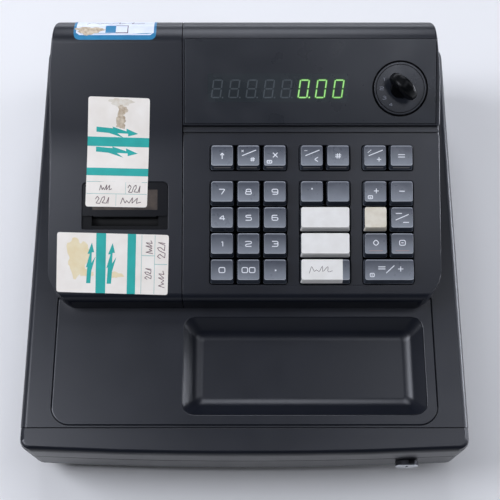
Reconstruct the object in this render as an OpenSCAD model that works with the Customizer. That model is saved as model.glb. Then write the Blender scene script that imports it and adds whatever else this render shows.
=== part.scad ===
// Compact electronic cash register: a drawer base with a coin tray in its deck,
// a sloped keyboard console and a printer under a lift-off cover.
// X runs to the right, Y to the back and Z up, from the middle of the footprint.

/* [Case] */
// Distance from the middle to the seam behind the drawer front
case_front = 150; // [149:0.5:151]
// Distance from the middle to the back face of the case
case_back = 166; // [165:0.5:170]
// Height of the deck above the table
deck_z = 82; // [80:0.5:90]
// Height of the seam between the lower and upper case
seam_z = 52; // [46:1:58]
// Wall of the moulded shells
wall = 2.5; // [2:0.1:3]
// Thickness of the deck
deck_t = 3.5; // [3.2:0.1:4]
// Rounding of the shoulders of the upper case
shoulder_r = 6; // [3:0.5:8]
// Rounding of the back corners in plan
back_corner_r = 12; // [8:1:16]
// Height of the rubber feet
foot_h = 6; // [5:0.5:8]
// Radius of the rubber feet
foot_r = 9; // [7:0.5:11]

/* [Coin tray panel] */
// Distance from the side of the case to the inlaid panel
panel_side = 22; // [19:0.5:25]
// Thickness of the inlaid panel
panel_t = 1.8; // [1.5:0.1:2]
// Distance from the middle to the front edge of the panel
panel_front = 148.5; // [147.6:0.1:148.6]
// Rounding of the front corners of the panel
panel_corner_r = 14; // [8:1:18]
// Gap around the panel
panel_gap = 0.3; // [0.2:0.05:0.5]
// Length of the coin tray mouth
tray_w = 178; // [150:1:182]
// Depth front to back of the coin tray mouth
tray_d = 73; // [60:1:76]
// Distance from the side of the panel to the right end of the coin tray
tray_side = 8; // [7:0.5:13]
// Front edge of the coin tray, from the middle
tray_front = 140.5; // [138:0.5:142]
// Depth of the coin tray
tray_h = 12; // [8:0.5:13]
// How far the tray walls lean in from mouth to floor
tray_lean = 10; // [6:0.5:12]

/* [Console] */
// Distance from the side of the case to the console
console_side = 18; // [13:0.5:19]
// Distance from the middle to the front foot of the console
console_front = 60; // [58:0.5:62]
// Distance from the middle to the back foot of the console
console_back = 162; // [160:0.5:164]
// Height of the front lip above the deck
lip_h = 21; // [18:0.5:26]
// Rounding of the front lip
lip_r = 7; // [4:0.5:9]
// Tilt of the keyboard in degrees
key_tilt = 16; // [14:0.5:17]
// Tilt of the display in degrees
display_tilt = 24; // [23:0.5:26]
// Length of the keyboard slope up to the display
key_slope = 126.3; // [125:0.1:129]
// Step from the keyboard up to the display
display_step = 2.3; // [1.5:0.1:3]
// Rounding of the crest
crest_r = 18; // [12:1:20]
// Slope of the back in degrees
back_tilt = 75; // [73:0.5:77]
// Rounding of the front corners of the console in plan
console_corner_r = 22; // [14:1:26]
// Width of the printer cover
cover_w = 99; // [98:0.5:100]
// Gap in the seam between the printer cover and the keyboard
split_gap = 0.6; // [0.4:0.1:1]
// Depth of the grooves below the display
groove_d = 1.8; // [1:0.1:2]

/* [Keys] */
// Distance between keys in a row
key_pitch_x = 19.4; // [19:0.1:19.6]
// Distance between rows of keys
key_pitch_y = 19.2; // [18.8:0.1:19.4]
// Space between two keys in a row
key_space_x = 2; // [1.8:0.1:2.6]
// Space between two rows of keys
key_space_y = 1.2; // [1.1:0.1:2]
// Height of a key above the panel
key_h = 6; // [5:0.5:8]
// Travel of a key
key_travel = 3.5; // [2:0.25:3.75]
// Gap between a key and its opening
key_gap = 0.6; // [0.4:0.05:0.8]
// Distance from the seam of the printer cover to the middle of the first column
keys_left = 29.5; // [24:0.5:34]
// Distance from the last column of keys to the right side of the console
keys_right = 20.7; // [16:0.1:24]
// Space between two groups of keys
group_gap = 7.85; // [6:0.05:10]
// Distance up the slope to the middle of the lowest row
lowest_row = 17.8; // [17.4:0.2:18.2]
// Distance from the fourth row up to the function row
function_gap = 26.6; // [24:0.2:27.4]
// Side of the square key stems
stem_w = 6; // [5:0.5:7]
// Gap around a stem in its guide
stem_gap = 0.2; // [0.15:0.05:0.4]

/* [Display and mode switch] */
// Thickness of the display window
window_t = 2.2; // [1.6:0.1:2.3]
// Length of the display window up the slope
window_l = 62.5; // [58:0.5:63]
// Radius of the mode switch barrel
mode_r = 6.85; // [6:0.05:7.5]
// Running clearance of the mode switch barrel
mode_clearance = 0.06; // [0.04:0.01:0.09]
// Distance from the side of the console to the middle of the mode switch
mode_side = 30; // [28:0.5:33]
// Distance up the display to the mode switch
mode_up = 27; // [25:0.5:29]
// Radius of the key bow
bow_r = 12; // [10:0.5:13]
// Thickness of the key bow
bow_t = 5; // [4:0.5:6]

/* [Drawer] */
// Height of the lower edge of the drawer front
drawer_front_low = 20; // [17:1:22]
// Distance from the middle to the outermost face of the drawer front
drawer_face = 170.2; // [169:0.1:170.6]
// How far the drawer front bows out in its middle
drawer_bow = 4; // [2:0.5:5]
// Gap between the drawer box and the case posts
drawer_gap = 1.9; // [1.5:0.1:8]
// Depth of the drawer box
drawer_d = 269; // [255:1:275]
// Height of the drawer box
drawer_h = 49.5; // [46:0.5:50]
// Wall of the drawer box
drawer_wall = 1.5; // [1:0.1:1.8]
// Wall of the cash insert
insert_wall = 2; // [1.6:0.1:2.2]
// Depth front to back of one coin cup
coin_cup_d = 47; // [44:0.5:49]
// Radius of the drawer lock face
lock_r = 8.5; // [7.5:0.1:9]
// Radius of the drawer lock barrel
lock_barrel_r = 7; // [6:0.1:7.2]
// How far the drawer lock stands out of the drawer front
lock_out = 2.3; // [1.5:0.1:3]
// Angle of a note clip below level in degrees
clip_drop = 25; // [22:0.5:27]

/* [Printer] */
// Width of the paper roll
roll_w = 57.5; // [55:0.5:58]
// Radius of the full paper roll
roll_r = 24; // [20:0.5:25]
// Radius of the core of the paper roll
core_r = 6; // [5.5:0.1:6.5]
// Tooth module of the printer gears
gear_module = 1; // [0.9:0.05:1]
// Teeth of the drum gear
drum_teeth = 18; // [16:1:18]
// Teeth of the feed gear
feed_teeth = 12; // [11:1:13]
// Radius of the print drum
drum_r = 8.5; // [7.5:0.1:8.6]
// Radius of the feed roller
feed_r = 5.5; // [4.5:0.1:5.6]
// Running clearance of the printer shafts
shaft_clearance = 0.05; // [0.03:0.01:0.09]

/* [Hidden] */
$fn = 48;
cut = 1;

// Widths worked out from the printer cover and the columns of keys
digit_columns = 3;
department_columns = 2;
total_columns = 2;
key_columns = digit_columns + department_columns + total_columns;
key_rows = 4;
key_w = key_pitch_x - key_space_x;
key_d = key_pitch_y - key_space_y;
console_w = cover_w + keys_left + (key_columns - 1) * key_pitch_x + 2 * group_gap + key_w / 2 + keys_right;
case_w = console_w + 2 * console_side;
panel_w = case_w - 2 * panel_side;
tray_right = panel_w / 2 - tray_side;
mode_x = console_w / 2 - mode_side;
split_x = console_w / 2 - cover_w;
digits_x = -split_x + keys_left;
departments_x = digits_x + digit_columns * key_pitch_x + group_gap;
totals_x = departments_x + department_columns * key_pitch_x + group_gap;
function_row = lowest_row + (key_rows - 1) * key_pitch_y + function_gap;
touch = 0.1;
edge_r = 1;
arc_steps = 8;
shoulder_steps = 6;
plate_steps = 3;
bow_steps = 5;

// Names, columns, rows and widths in columns of all the keys
DIGIT_KEYS = [
    ["key_0", 0, 0, 1], ["key_00", 1, 0, 1], ["key_point", 2, 0, 1],
    ["key_1", 0, 1, 1], ["key_2", 1, 1, 1], ["key_3", 2, 1, 1],
    ["key_4", 0, 2, 1], ["key_5", 1, 2, 1], ["key_6", 2, 2, 1],
    ["key_7", 0, 3, 1], ["key_8", 1, 3, 1], ["key_9", 2, 3, 1],
    ["key_feed", 0, 4, 1], ["key_date", 1, 4, 1], ["key_clear", 2, 4, 1]
];
DEPARTMENT_KEYS = [
    ["key_department_1", 0, 0, 2], ["key_department_2", 0, 1, 2], ["key_department_3", 0, 2, 2],
    ["key_department_4", 0, 3, 1], ["key_department_5", 1, 3, 1],
    ["key_correct", 0, 4, 1], ["key_lookup", 1, 4, 1]
];
TOTAL_KEYS = [
    ["key_cash", 0, 0, 2], ["key_subtotal", 0, 1, 1], ["key_charge", 1, 1, 1],
    ["key_balance", 0, 2, 1], ["key_cheque", 1, 2, 1],
    ["key_received", 0, 3, 1], ["key_paid_out", 1, 3, 1],
    ["key_percent", 0, 4, 1], ["key_tax", 1, 4, 1]
];
KEY_GROUPS = [
    [digits_x, digit_columns, DIGIT_KEYS],
    [departments_x, department_columns, DEPARTMENT_KEYS],
    [totals_x, total_columns, TOTAL_KEYS]
];
KEY_NAMES = [for (group = KEY_GROUPS) for (key = group[2]) key[0]];
BODY_NAMES = [
    "lower_case", "upper_case", "tray_panel", "console_case", "key_frame", "circuit_boards",
    "display_window", "display_tubes", "customer_window", "transformer", "cord_bushing",
    "feet", "screws", "printer_frame", "printer_motor", "printer_cover", "receipt_window",
    "lock_barrel", "mode_key", "drawer_box", "drawer_front", "cash_insert", "note_clip_left",
    "note_clip_middle", "note_clip_right", "drawer_lock", "feed_roller", "print_drum", "paper_roll"
];

CHARCOAL = "#33343a";
DARK = "#1d1d20";
KEY_GREY = "#7c828e";
KEY_WHITE = "#e9e7e1";
STEEL = "#a9adb3";
PAPER = "#f4f2ec";
BOARD = "#2f5f3c";
SMOKED = "#26272c";
TUBE = "#24423a";
AMBER = "#4a3a30";
CHROME = "silver";

// Case
inner_half = case_w / 2 - wall;
floor_z = foot_h + wall;
post_r = 3.6;
post_side = 2.9;
post_inset = 16;
post_x = case_w / 2 - post_side - post_r;
post_ys = [-case_front + post_inset, case_back - post_inset];
pilot_r = 1.45;
screw_r = 1.4;
screw_clearance = 0.3;
screw_head_r = 2.8;
screw_head_h = 1.8;
screw_l = 14;
cross_w = 0.6;
cross_l = 3.6;
cross_d = 1;
runner_h = 1.7;
runner_w = 4;
runner_x = 100;
runner_gap = 0.3;
sill_gap = 0.6;
foot_side = 31;
foot_x = case_w / 2 - foot_side;
foot_inset = 25;
foot_ys = [-case_front + foot_inset, case_back - foot_inset];
panel_tuck = 8;
tray_corner_r = 8;
tray_floor_r = 6;
bowl_t = 1.5;
bowl_floor_t = 2;
bowl_room = 3;
wiring_w = 70;
wiring_d = 30;
lead_slot_w = 30;
lead_slot_d = 10;
main_board_side = 70;
main_board_w = 118;
main_board_d = 96;
main_board_right = console_w / 2 - main_board_side;
main_board_left = main_board_right - main_board_w;
main_board_front = 13;
main_board_back = main_board_front + main_board_d;
wiring_inset_x = 13;
wiring_inset_y = 11;
wiring_x = main_board_left + wiring_inset_x;
wiring_y = main_board_front + wiring_inset_y;
board_post_h = 6;
board_post_r = 3;
board_post_inset = 5;

// Console frames: the keyboard plane starts at the lip and the display plane above its step
lip_lean = 3;
front_lean = 91;
lip_y = -console_front + lip_lean;
lip_z = deck_z + lip_h;
display_y = lip_y + key_slope * cos(key_tilt) - display_step * sin(key_tilt);
display_z = lip_z + key_slope * sin(key_tilt) + display_step * cos(key_tilt);

// Panel openings, guide plate and contact board, measured down from the panel
key_foot = 2;
key_rest = 1;
stem_rest = 0.5;
guide_top = key_foot + key_travel + key_rest;
ridge_top = 3.2;
ridge_low = 4.7;
groove_low = 7.2;
guide_t = 2.5;
board_gap = key_travel + stem_rest;
board_t = 1.6;
guide_bottom = guide_top + guide_t;
board_top = guide_bottom + board_gap;
guide_margin = 12;
guide_side = 4;
guide_left = digits_x - key_w / 2 - guide_side;
guide_right = totals_x + (total_columns - 1) * key_pitch_x + key_w / 2 + guide_side;
spacer_r = 3;
key_shoulder = 1;
key_top_w = 1.6;
key_top_d = 3.1;
key_top_shift = 1.2;
key_corner_r = 1.5;
opening_r = 2;

// Lid of the printer
cover_lift = 0.3;
bed_t = 2.5;
bed_rim_h = 8;
bed_rim_t = 2;
bed_gap = 0.5;
bed_front = -console_front + 2 * wall + console_corner_r;
bed_back = console_back - 4 * wall - back_corner_r;
cover_blend_r = 200;

// Receipt slot in the printer cover, measured along the slope
slot_side = 42.5;
slot_x = -split_x - slot_side;
slot_w = 49.4;
slot_low = 51.7;
slot_high = 78;
pane_low = 59;
recess_w = 63.7;
recess_low = 48.9;
recess_high = 84.4;
recess_corner_r = 4;
pane_gap = 0.4;
pane_corner = 3;
pane_t = 1.2;
recess_d = 1.2;
tooth_w = 1.6;
tooth_h = 1.2;
teeth_margin = 1;

// Display
window_gap = 0.3;
window_start = 0.8;
pocket_margin_left = 1.2;
pocket_margin_right = 3;
pocket_left = -split_x + split_gap / 2 + pocket_margin_left;
pocket_right = console_w / 2 - pocket_margin_right;
backing_t = 2.5;
digits_low = 14;
digits_high = 40;
digits_w = 110;
tube_side = 65;
digits_right = console_w / 2 - tube_side;
digits_left = digits_right - digits_w;
tube_margin = 3;
tube_t = 8;
customer_w = 96;
customer_h = 26;
customer_side = 89;
customer_x = console_w / 2 - customer_side;
customer_down = 46;
customer_flange = 3;
customer_flange_t = 1.5;

// Mode switch and its key
mode_out = 3;
mode_in = 20;
mode_collar_r = 8.6;
mode_collar_h = 2.4;
mode_collar_gap = 0.3;
mode_window_gap = 0.6;
mode_turn = -45;
blade_w = 7;
blade_t = 2.2;
blade_gap = 0.2;
blade_in = 15;
blade_slot_in = 17;
blade_lap = 2;
bow_stand = 4;
bow_hole_r = 2.2;
bow_hole_up = 18.6;

// Drawer
drawer_w = 2 * (post_x - post_r - drawer_gap);
drawer_seam = 0.4;
drawer_top = deck_z - drawer_seam;
drawer_corner_r = 9;
face_wall = 3;
rib_x = 60;
head_gap = 0.6;
top_round = 6;
top_lean = 4;
step_z = 54;
step_d = 0.8;
step_h = 1.2;
low_step_h = 2.4;
drawer_low = floor_z + runner_h + runner_gap;
drawer_start = -case_front - drawer_seam;
insert_gap = 1.4;
insert_floor = drawer_low + drawer_wall;
insert_top = drawer_low + drawer_h;
insert_x = drawer_w / 2 - drawer_wall - insert_gap;
insert_front = drawer_start + drawer_wall + insert_gap;
insert_back = drawer_start + drawer_d - drawer_wall - insert_gap;
coin_cups = 4;
coin_rows = 2;
note_bays = 3;
bay_w = (2 * insert_x - (note_bays + 1) * insert_wall) / note_bays;
cup_w = (2 * insert_x - (coin_cups + 1) * insert_wall) / coin_cups;
notes_front = insert_front + insert_wall + coin_rows * (coin_cup_d + insert_wall);
clip_pin_r = 1.5;
clip_hub_r = 3.2;
clip_clearance = 0.05;
clip_w = 30;
clip_t = 2.4;
finger_w = 6;
finger_l = 8;
leaf_inset = 0.8;
clip_pin_down = 9;
clip_pin_out = 8;
clip_pin_z = insert_top - clip_pin_down;
clip_pin_y = insert_back - insert_wall - clip_pin_out;
clip_pad_gap = 0.4;
lug_t = 3;
lug_gap = 0.4;
clip_reach = (clip_pin_z - insert_floor - insert_wall - clip_pad_gap - clip_t / 2) / sin(clip_drop);
lock_side = 41;
lock_x = case_w / 2 - lock_side;
lock_z = 42;
lock_clearance = 0.05;
lock_in = 13;
cam_w = 3;
cam_t = 2;
keyway_w = 1.6;
keyway_l = 7;
keyway_d = 3;

// Power parts
entry_side = 43;
entry_x = case_w / 2 - entry_side;
entry_z = 32;
entry_r = 6;
entry_clearance = 0.05;
entry_inside = 3;
entry_bore_r = 3.6;
entry_flange_r = 9;
entry_flange_t = 2;
entry_out = 6.5;
transformer_w = 52;
transformer_side = 12.5;
transformer_x = console_w / 2 - wall - transformer_side - transformer_w / 2;
transformer_y = 98;
transformer_d = 40;
transformer_h = 34;
transformer_leg = 8.5;
transformer_stack = 20;

// Printer
bed_z = deck_z + bed_t;
frame_t = 2;
frame_side = 5;
roll_side = 6.25;
frame_right = -split_x - frame_side;
frame_left = frame_right - roll_w - 2 * (roll_side + frame_t);
frame_front = -25;
frame_back = 100;
plate_top = bed_z + frame_t;
drum_y = -10;
drum_up = 10.5;
drum_z = plate_top + drum_up;
shaft_drum_r = 2.45;
shaft_feed_r = 1.95;
gear_play = 0.15;
gear_distance = gear_module * (drum_teeth + feed_teeth) / 2 + gear_play;
gear_angle = 45;
feed_y = drum_y + gear_distance * cos(gear_angle);
feed_z = drum_z + gear_distance * sin(gear_angle);
gear_w = 4;
gear_gap = 1;
gear_shoulder = 2;
gear_x = frame_left + frame_t + gear_gap;
dedendum = 1.15;
addendum = 0.85;
root_half = 0.3;
pitch_half = 0.19;
tip_half = 0.09;
roller_inset = 7;
rollers_left = gear_x + gear_w + gear_shoulder;
rollers_right = frame_right - frame_t - roller_inset;
roll_y = 75;
roll_gap = 0.5;
roll_z = plate_top + roll_r + roll_gap;
core_pin_l = 8.5;
roll_left = (frame_left + frame_right - roll_w) / 2;
motor_r = 12;
motor_l = 30;
motor_y = 32;
motor_inset = 6;
motor_x = frame_left + frame_t + motor_inset;
motor_shaft_r = 1.5;
motor_foot_h = 3;
motor_foot_inset = 4;
motor_foot_lap = 2;
motor_z = plate_top + motor_foot_h + motor_r - cut;
side_before_feed = 3;
side_behind_feed = 24;
side_before_roll = 18;
side_behind_roll = 15;
side_over_drum = 6;
side_over_feed = 5;
side_over_roll = 9;

// Shapes of outlines
function unit(v) = v / norm(v);
function square_left(p, q) = [p[1] - q[1], q[0] - p[0]] / norm(q - p);

// Closed outline moved inwards, walked counterclockwise
function inset_outline(pts, d) = [
    for (i = [0 : len(pts) - 1])
        let (
            before = pts[(i + len(pts) - 1) % len(pts)],
            after = pts[(i + 1) % len(pts)],
            m = square_left(before, pts[i]),
            n = square_left(pts[i], after)
        )
        pts[i] + d * (m + n) / (1 + m * n)
];

// Arc that rounds the corner b between a and c
function corner_arc(a, b, c, r, steps) =
    r <= 0 ? [b] :
    let (
        u = unit(a - b),
        v = unit(c - b),
        half = acos(u * v) / 2,
        mid = b + unit(u + v) * r / sin(half),
        start = b + u * r / tan(half) - mid,
        end = b + v * r / tan(half) - mid,
        turn = 180 - 2 * half
    )
    [for (i = [0 : steps]) mid + (sin((1 - i / steps) * turn) * start + sin(i / steps * turn) * end) / sin(turn)];

function rounded_outline(pts, radii, steps) = [
    for (i = [0 : len(pts) - 1])
        each corner_arc(pts[(i + len(pts) - 1) % len(pts)], pts[i], pts[(i + 1) % len(pts)], radii[i], steps)
];

// Crossing of the line through p at angle a with the line through q at angle b
function crossing(p, a, q, b) =
    let (
        u = [cos(a), sin(a)],
        v = [cos(b), sin(b)],
        t = ((q[0] - p[0]) * v[1] - (q[1] - p[1]) * v[0]) / (u[0] * v[1] - u[1] * v[0])
    )
    p + t * u;

// Corners of the console in the plane of Y and Z
foot_front = [-console_front, deck_z];
foot_back = [console_back, deck_z];
lip = [lip_y, lip_z];
display_foot = [display_y, display_z];
crest = crossing(display_foot, display_tilt, foot_back, 180 - back_tilt);
lip_corner = crossing(lip, key_tilt, foot_front, front_lean);
bend = crossing(lip, key_tilt, display_foot, display_tilt);
key_end = lip + key_slope * [cos(key_tilt), sin(key_tilt)];
console_corners = [foot_front, foot_back, crest, display_foot, key_end, lip_corner];
cover_corners = [foot_front, foot_back, crest, bend, lip_corner];
console_skirt = 16;
below_deck = [0, deck_z - console_skirt];
low_corners = [
    crossing(foot_front, front_lean, below_deck, 0), crossing(foot_back, 180 - back_tilt, below_deck, 0),
    crest, bend, lip_corner
];
console_outline = rounded_outline(console_corners, [0, 0, crest_r, 0, 0, lip_r], arc_steps);
cover_outline = rounded_outline(cover_corners, [0, 0, crest_r, cover_blend_r, lip_r], arc_steps);

// Outline of the console moved inwards and left open at the deck
function inner_outline(d) = rounded_outline(inset_outline(low_corners, d),
    [0, 0, crest_r - d, cover_blend_r, max(lip_r - d, edge_r)], arc_steps);

// Places a piece on the keyboard plane, the display plane or the back
module on_keyboard() translate([0, lip_y, lip_z]) rotate([key_tilt, 0, 0]) children();
module on_display() translate([0, display_y, display_z]) rotate([display_tilt, 0, 0]) children();
module on_back() translate([0, crest[0], crest[1]]) rotate([-back_tilt, 0, 0]) children();

// Outline in the plane of Y and Z pulled out along X
module along_x(x0, x1) translate([x0, 0, 0]) rotate([90, 0, 90]) linear_extrude(x1 - x0) children();

module along_y(y0, y1) translate([0, y1, 0]) rotate([90, 0, 0]) linear_extrude(y1 - y0) children();

// Box between two corners
module block(low, high) translate(low) cube(high - low);

// Rod along X
module rod_x(x0, x1, y, z, r) translate([x0, y, z]) rotate([0, 90, 0]) cylinder(r = r, h = x1 - x0);

// Plan outline with round corners
module rounded_plan(x0, x1, y0, y1, front_r, back_r) {
    polygon([
        [x0, y0 + front_r], [x0 + front_r, y0], [x1 - front_r, y0], [x1, y0 + front_r],
        [x1, y1 - back_r], [x1 - back_r, y1], [x0 + back_r, y1], [x0, y1 - back_r]
    ]);
    for (x = [x0 + front_r, x1 - front_r])
        translate([x, y0 + front_r]) circle(front_r);
    for (x = [x0 + back_r, x1 - back_r])
        translate([x, y1 - back_r]) circle(back_r);
}

// Plate with round corners of few facets, for hulls
module plain_plate(w, d, h, r) linear_extrude(h)
    polygon(rounded_outline([[-w / 2, -d / 2], [w / 2, -d / 2], [w / 2, d / 2], [-w / 2, d / 2]],
        [r, r, r, r], plate_steps));

module lower_case() color(CHARCOAL) {
    difference() {
        translate([0, 0, foot_h]) linear_extrude(seam_z - foot_h)
            rounded_plan(-case_w / 2, case_w / 2, -case_front, case_back, edge_r, back_corner_r);
        translate([0, 0, floor_z]) linear_extrude(seam_z)
            rounded_plan(-inner_half, inner_half, -case_front - 2 * cut, case_back - wall, edge_r,
                back_corner_r - wall);
        for (x = [-post_x, post_x])
            for (y = post_ys)
                translate([x, y, foot_h - cut]) cylinder(r = screw_r + screw_clearance, h = wall + 2 * cut);
        translate([entry_x, case_back - wall - cut, entry_z]) rotate([-90, 0, 0])
            cylinder(r = entry_r + entry_clearance, h = wall + 2 * cut);
    }
    for (x = [-runner_x, runner_x])
        block([x - runner_w / 2, -case_front, floor_z - touch],
            [x + runner_w / 2, case_back - 2 * wall, floor_z + runner_h]);
    block([-inner_half - touch, -case_front, floor_z - touch],
        [inner_half + touch, -case_front + wall, drawer_low - sill_gap]);
}

module upper_case() color(CHARCOAL) difference() {
    union() {
        difference() {
            intersection() {
                along_y(-case_front, case_back) polygon(rounded_outline(
                    [[-case_w / 2, seam_z], [case_w / 2, seam_z], [case_w / 2, deck_z], [-case_w / 2, deck_z]],
                    [0, 0, shoulder_r, shoulder_r], shoulder_steps));
                along_x(-case_w / 2, case_w / 2) polygon(rounded_outline(
                    [[-case_front, seam_z], [case_back, seam_z], [case_back, deck_z], [-case_front, deck_z]],
                    [0, 0, shoulder_r, 0], shoulder_steps));
                linear_extrude(deck_z + cut)
                    rounded_plan(-case_w / 2, case_w / 2, -case_front, case_back, edge_r, back_corner_r);
            }
            linear_extrude(deck_z - deck_t)
                rounded_plan(-inner_half, inner_half, -case_front - 2 * cut, case_back - wall, edge_r,
                    back_corner_r - wall);
        }
        for (x = [-post_x, post_x])
            for (y = post_ys)
                translate([x, y, floor_z]) cylinder(r = post_r, h = deck_z - deck_t - floor_z + touch);
        main_board_posts();
    }
    translate([0, 0, deck_z - panel_t]) linear_extrude(panel_t + cut)
        rounded_plan(-panel_w / 2 - panel_gap, panel_w / 2 + panel_gap, -panel_front - panel_gap,
            -console_front + panel_tuck + panel_gap, panel_corner_r + panel_gap, edge_r);
    translate([tray_right - tray_w / 2, -tray_front + tray_d / 2, deck_z - deck_t - cut])
        linear_extrude(deck_t + 2 * cut)
            rounded_plan(-tray_w / 2 - bowl_room, tray_w / 2 + bowl_room, -tray_d / 2 - bowl_room,
                tray_d / 2 + bowl_room, tray_corner_r, tray_corner_r);
    block([wiring_x, wiring_y, deck_z - deck_t - cut], [wiring_x + wiring_w, wiring_y + wiring_d, deck_z + cut]);
    for (x = [-post_x, post_x])
        for (y = post_ys)
            translate([x, y, floor_z - cut]) cylinder(r = pilot_r, h = screw_l + cut);
}

module main_board_posts()
    for (x = [main_board_left + board_post_inset, main_board_right - board_post_inset])
        for (y = [main_board_front + board_post_inset, main_board_back - board_post_inset])
            translate([x, y, deck_z - touch]) cylinder(r = board_post_r, h = board_post_h + touch);

// Bowl of the coin tray from its mouth to its floor
module tray_bowl(grow, down) hull() {
    translate([0, 0, -cut / 2]) plain_plate(tray_w + 2 * grow, tray_d + 2 * grow, cut, tray_corner_r + grow);
    translate([0, 0, -tray_h - down]) plain_plate(tray_w - 2 * tray_lean + 2 * grow,
        tray_d - 2 * tray_lean + 2 * grow, cut, tray_floor_r + grow);
}

module tray_panel() color(CHARCOAL) difference() {
    union() {
        translate([0, 0, deck_z - panel_t]) linear_extrude(panel_t)
            rounded_plan(-panel_w / 2, panel_w / 2, -panel_front, -console_front + panel_tuck,
                panel_corner_r, edge_r);
        translate([tray_right - tray_w / 2, -tray_front + tray_d / 2, deck_z - panel_t])
            tray_bowl(bowl_t, bowl_floor_t - panel_t);
    }
    translate([tray_right - tray_w / 2, -tray_front + tray_d / 2, deck_z]) tray_bowl(0, 0);
}

// Solid console between two planes of X
module console_solid(x0, x1, z0, d, outline) intersection() {
    along_x(x0, x1) polygon(outline);
    translate([0, 0, z0]) linear_extrude(crest[1] - z0)
        rounded_plan(-console_w / 2 + d, console_w / 2 - d, -console_front - cut + d, console_back + cut - d,
            console_corner_r - d + cut, back_corner_r - d + cut);
}

// Bed under the printer cover, with a rim that the cover slips over
module printer_bed() {
    rim_in = wall + bed_gap;
    well_in = rim_in + bed_rim_t;
    bed_right = -split_x - split_gap / 2 - wall - bed_gap;
    difference() {
        intersection() {
            console_solid(-console_w / 2 + rim_in, bed_right, deck_z, rim_in, inner_outline(rim_in));
            block([-case_w, -case_w, deck_z], [case_w, case_w, bed_z + bed_rim_h]);
        }
        console_solid(-console_w / 2 + well_in, bed_right + cut, bed_z, well_in, inner_outline(well_in));
    }
    block([bed_right - touch, bed_front, deck_z], [-split_x + split_gap / 2 + touch, bed_back, bed_z]);
}

module key_openings()
    for (group = KEY_GROUPS) {
        left = group[0] - key_w / 2 - key_gap;
        right = group[0] + (group[1] - 1) * key_pitch_x + key_w / 2 + key_gap;
        low = lowest_row - key_d / 2 - key_gap;
        high = lowest_row + (key_rows - 1) * key_pitch_y + key_d / 2 + key_gap;
        for (span = [[low, high], [function_row - key_d / 2 - key_gap, function_row + key_d / 2 + key_gap]])
            translate([0, 0, -guide_top]) linear_extrude(guide_top + cut)
                rounded_plan(left, right, span[0], span[1], opening_r, opening_r);
    }

module console_case() color(CHARCOAL) {
    difference() {
        union() {
            difference() {
                console_solid(-split_x + split_gap / 2, console_w / 2, deck_z, 0, console_outline);
                console_solid(-split_x + split_gap / 2 + wall, console_w / 2 - wall, deck_z - cut, wall,
                    inner_outline(wall));
            }
            on_display() block([-split_x + split_gap / 2 + wall - touch, -2 * cut, -window_t - backing_t],
                [console_w / 2 - wall + touch, window_l + window_start + 2 * cut, -window_t]);
            on_keyboard()
                block([-split_x + split_gap / 2 + wall - touch, function_row + key_d / 2 + 2 * key_gap, -2 * wall],
                    [console_w / 2 - wall + touch, key_slope + cut, -groove_d]);
        }
        on_display() translate([0, 0, -window_t])
            block([pocket_left, window_start, 0], [pocket_right, window_start + window_l + window_gap, 4 * cut]);
        on_display() block([digits_left, digits_low, -window_t - backing_t - cut], [digits_right, digits_high, 0]);
        on_display() translate([mode_x, mode_up, -mode_in]) cylinder(r = mode_r + mode_clearance, h = mode_in + cut);
        on_keyboard() block([-split_x, key_slope - ridge_top, -groove_d], [case_w, key_slope, display_step + cut]);
        on_keyboard() block([-split_x, key_slope - groove_low, -groove_d], [case_w, key_slope - ridge_low, cut]);
        on_keyboard() key_openings();
        on_back() block([customer_x - customer_w / 2, customer_down - customer_h / 2, -2 * wall],
            [customer_x + customer_w / 2, customer_down + customer_h / 2, cut]);
    }
    printer_bed();
}

// Guide plate that the key stems slide in
module key_frame() color(DARK) on_keyboard() difference() {
    union() {
        block([guide_left, lowest_row - guide_margin, -guide_bottom],
            [guide_right, function_row + guide_margin, -guide_top]);
        spacers(-guide_bottom - board_gap, -guide_bottom + touch);
        spacers(-guide_top - touch, -wall);
    }
    for (group = KEY_GROUPS)
        for (key = group[2])
            for (x = stem_places(key))
                block([group[0] + x - stem_w / 2 - stem_gap, key_s(key) - stem_w / 2 - stem_gap, -guide_bottom - cut],
                    [group[0] + x + stem_w / 2 + stem_gap, key_s(key) + stem_w / 2 + stem_gap, -guide_top + cut]);
}

// Spacers between the columns of keys
module spacers(low, high)
    for (x = [digits_right_edge() + departments_x - key_w / 2, departments_right_edge() + totals_x - key_w / 2] / 2)
        for (y = [lowest_row + key_pitch_y / 2, lowest_row + (key_rows - 3 / 2) * key_pitch_y])
            translate([x, y, low]) cylinder(r = spacer_r, h = high - low);

function digits_right_edge() = digits_x + (digit_columns - 1) * key_pitch_x + key_w / 2;
function departments_right_edge() = departments_x + (department_columns - 1) * key_pitch_x + key_w / 2;

// Middle of a key up the slope, and its stems along X from the first column of its group
function key_s(key) = key[2] == key_rows ? function_row : lowest_row + key[2] * key_pitch_y;
function stem_places(key) = [for (i = [0 : key[3] - 1]) (key[1] + i) * key_pitch_x];

module register_key(group_x, key) {
    middle = group_x + (key[1] + (key[3] - 1) / 2) * key_pitch_x;
    foot_w = key_w + (key[3] - 1) * key_pitch_x;
    color(key[3] == 2 && group_x == departments_x ? KEY_WHITE : KEY_GREY) on_keyboard() {
        translate([middle, key_s(key), 0]) hull() {
            translate([0, 0, -key_foot]) plain_plate(foot_w, key_d, key_foot + key_shoulder, key_corner_r);
            translate([0, key_top_shift, key_h - cut])
                plain_plate(foot_w - key_top_w, key_d - key_top_d, cut, key_corner_r);
        }
        for (x = stem_places(key))
            block([group_x + x - stem_w / 2, key_s(key) - stem_w / 2, -guide_bottom],
                [group_x + x + stem_w / 2, key_s(key) + stem_w / 2, -key_foot + touch]);
    }
}

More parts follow.
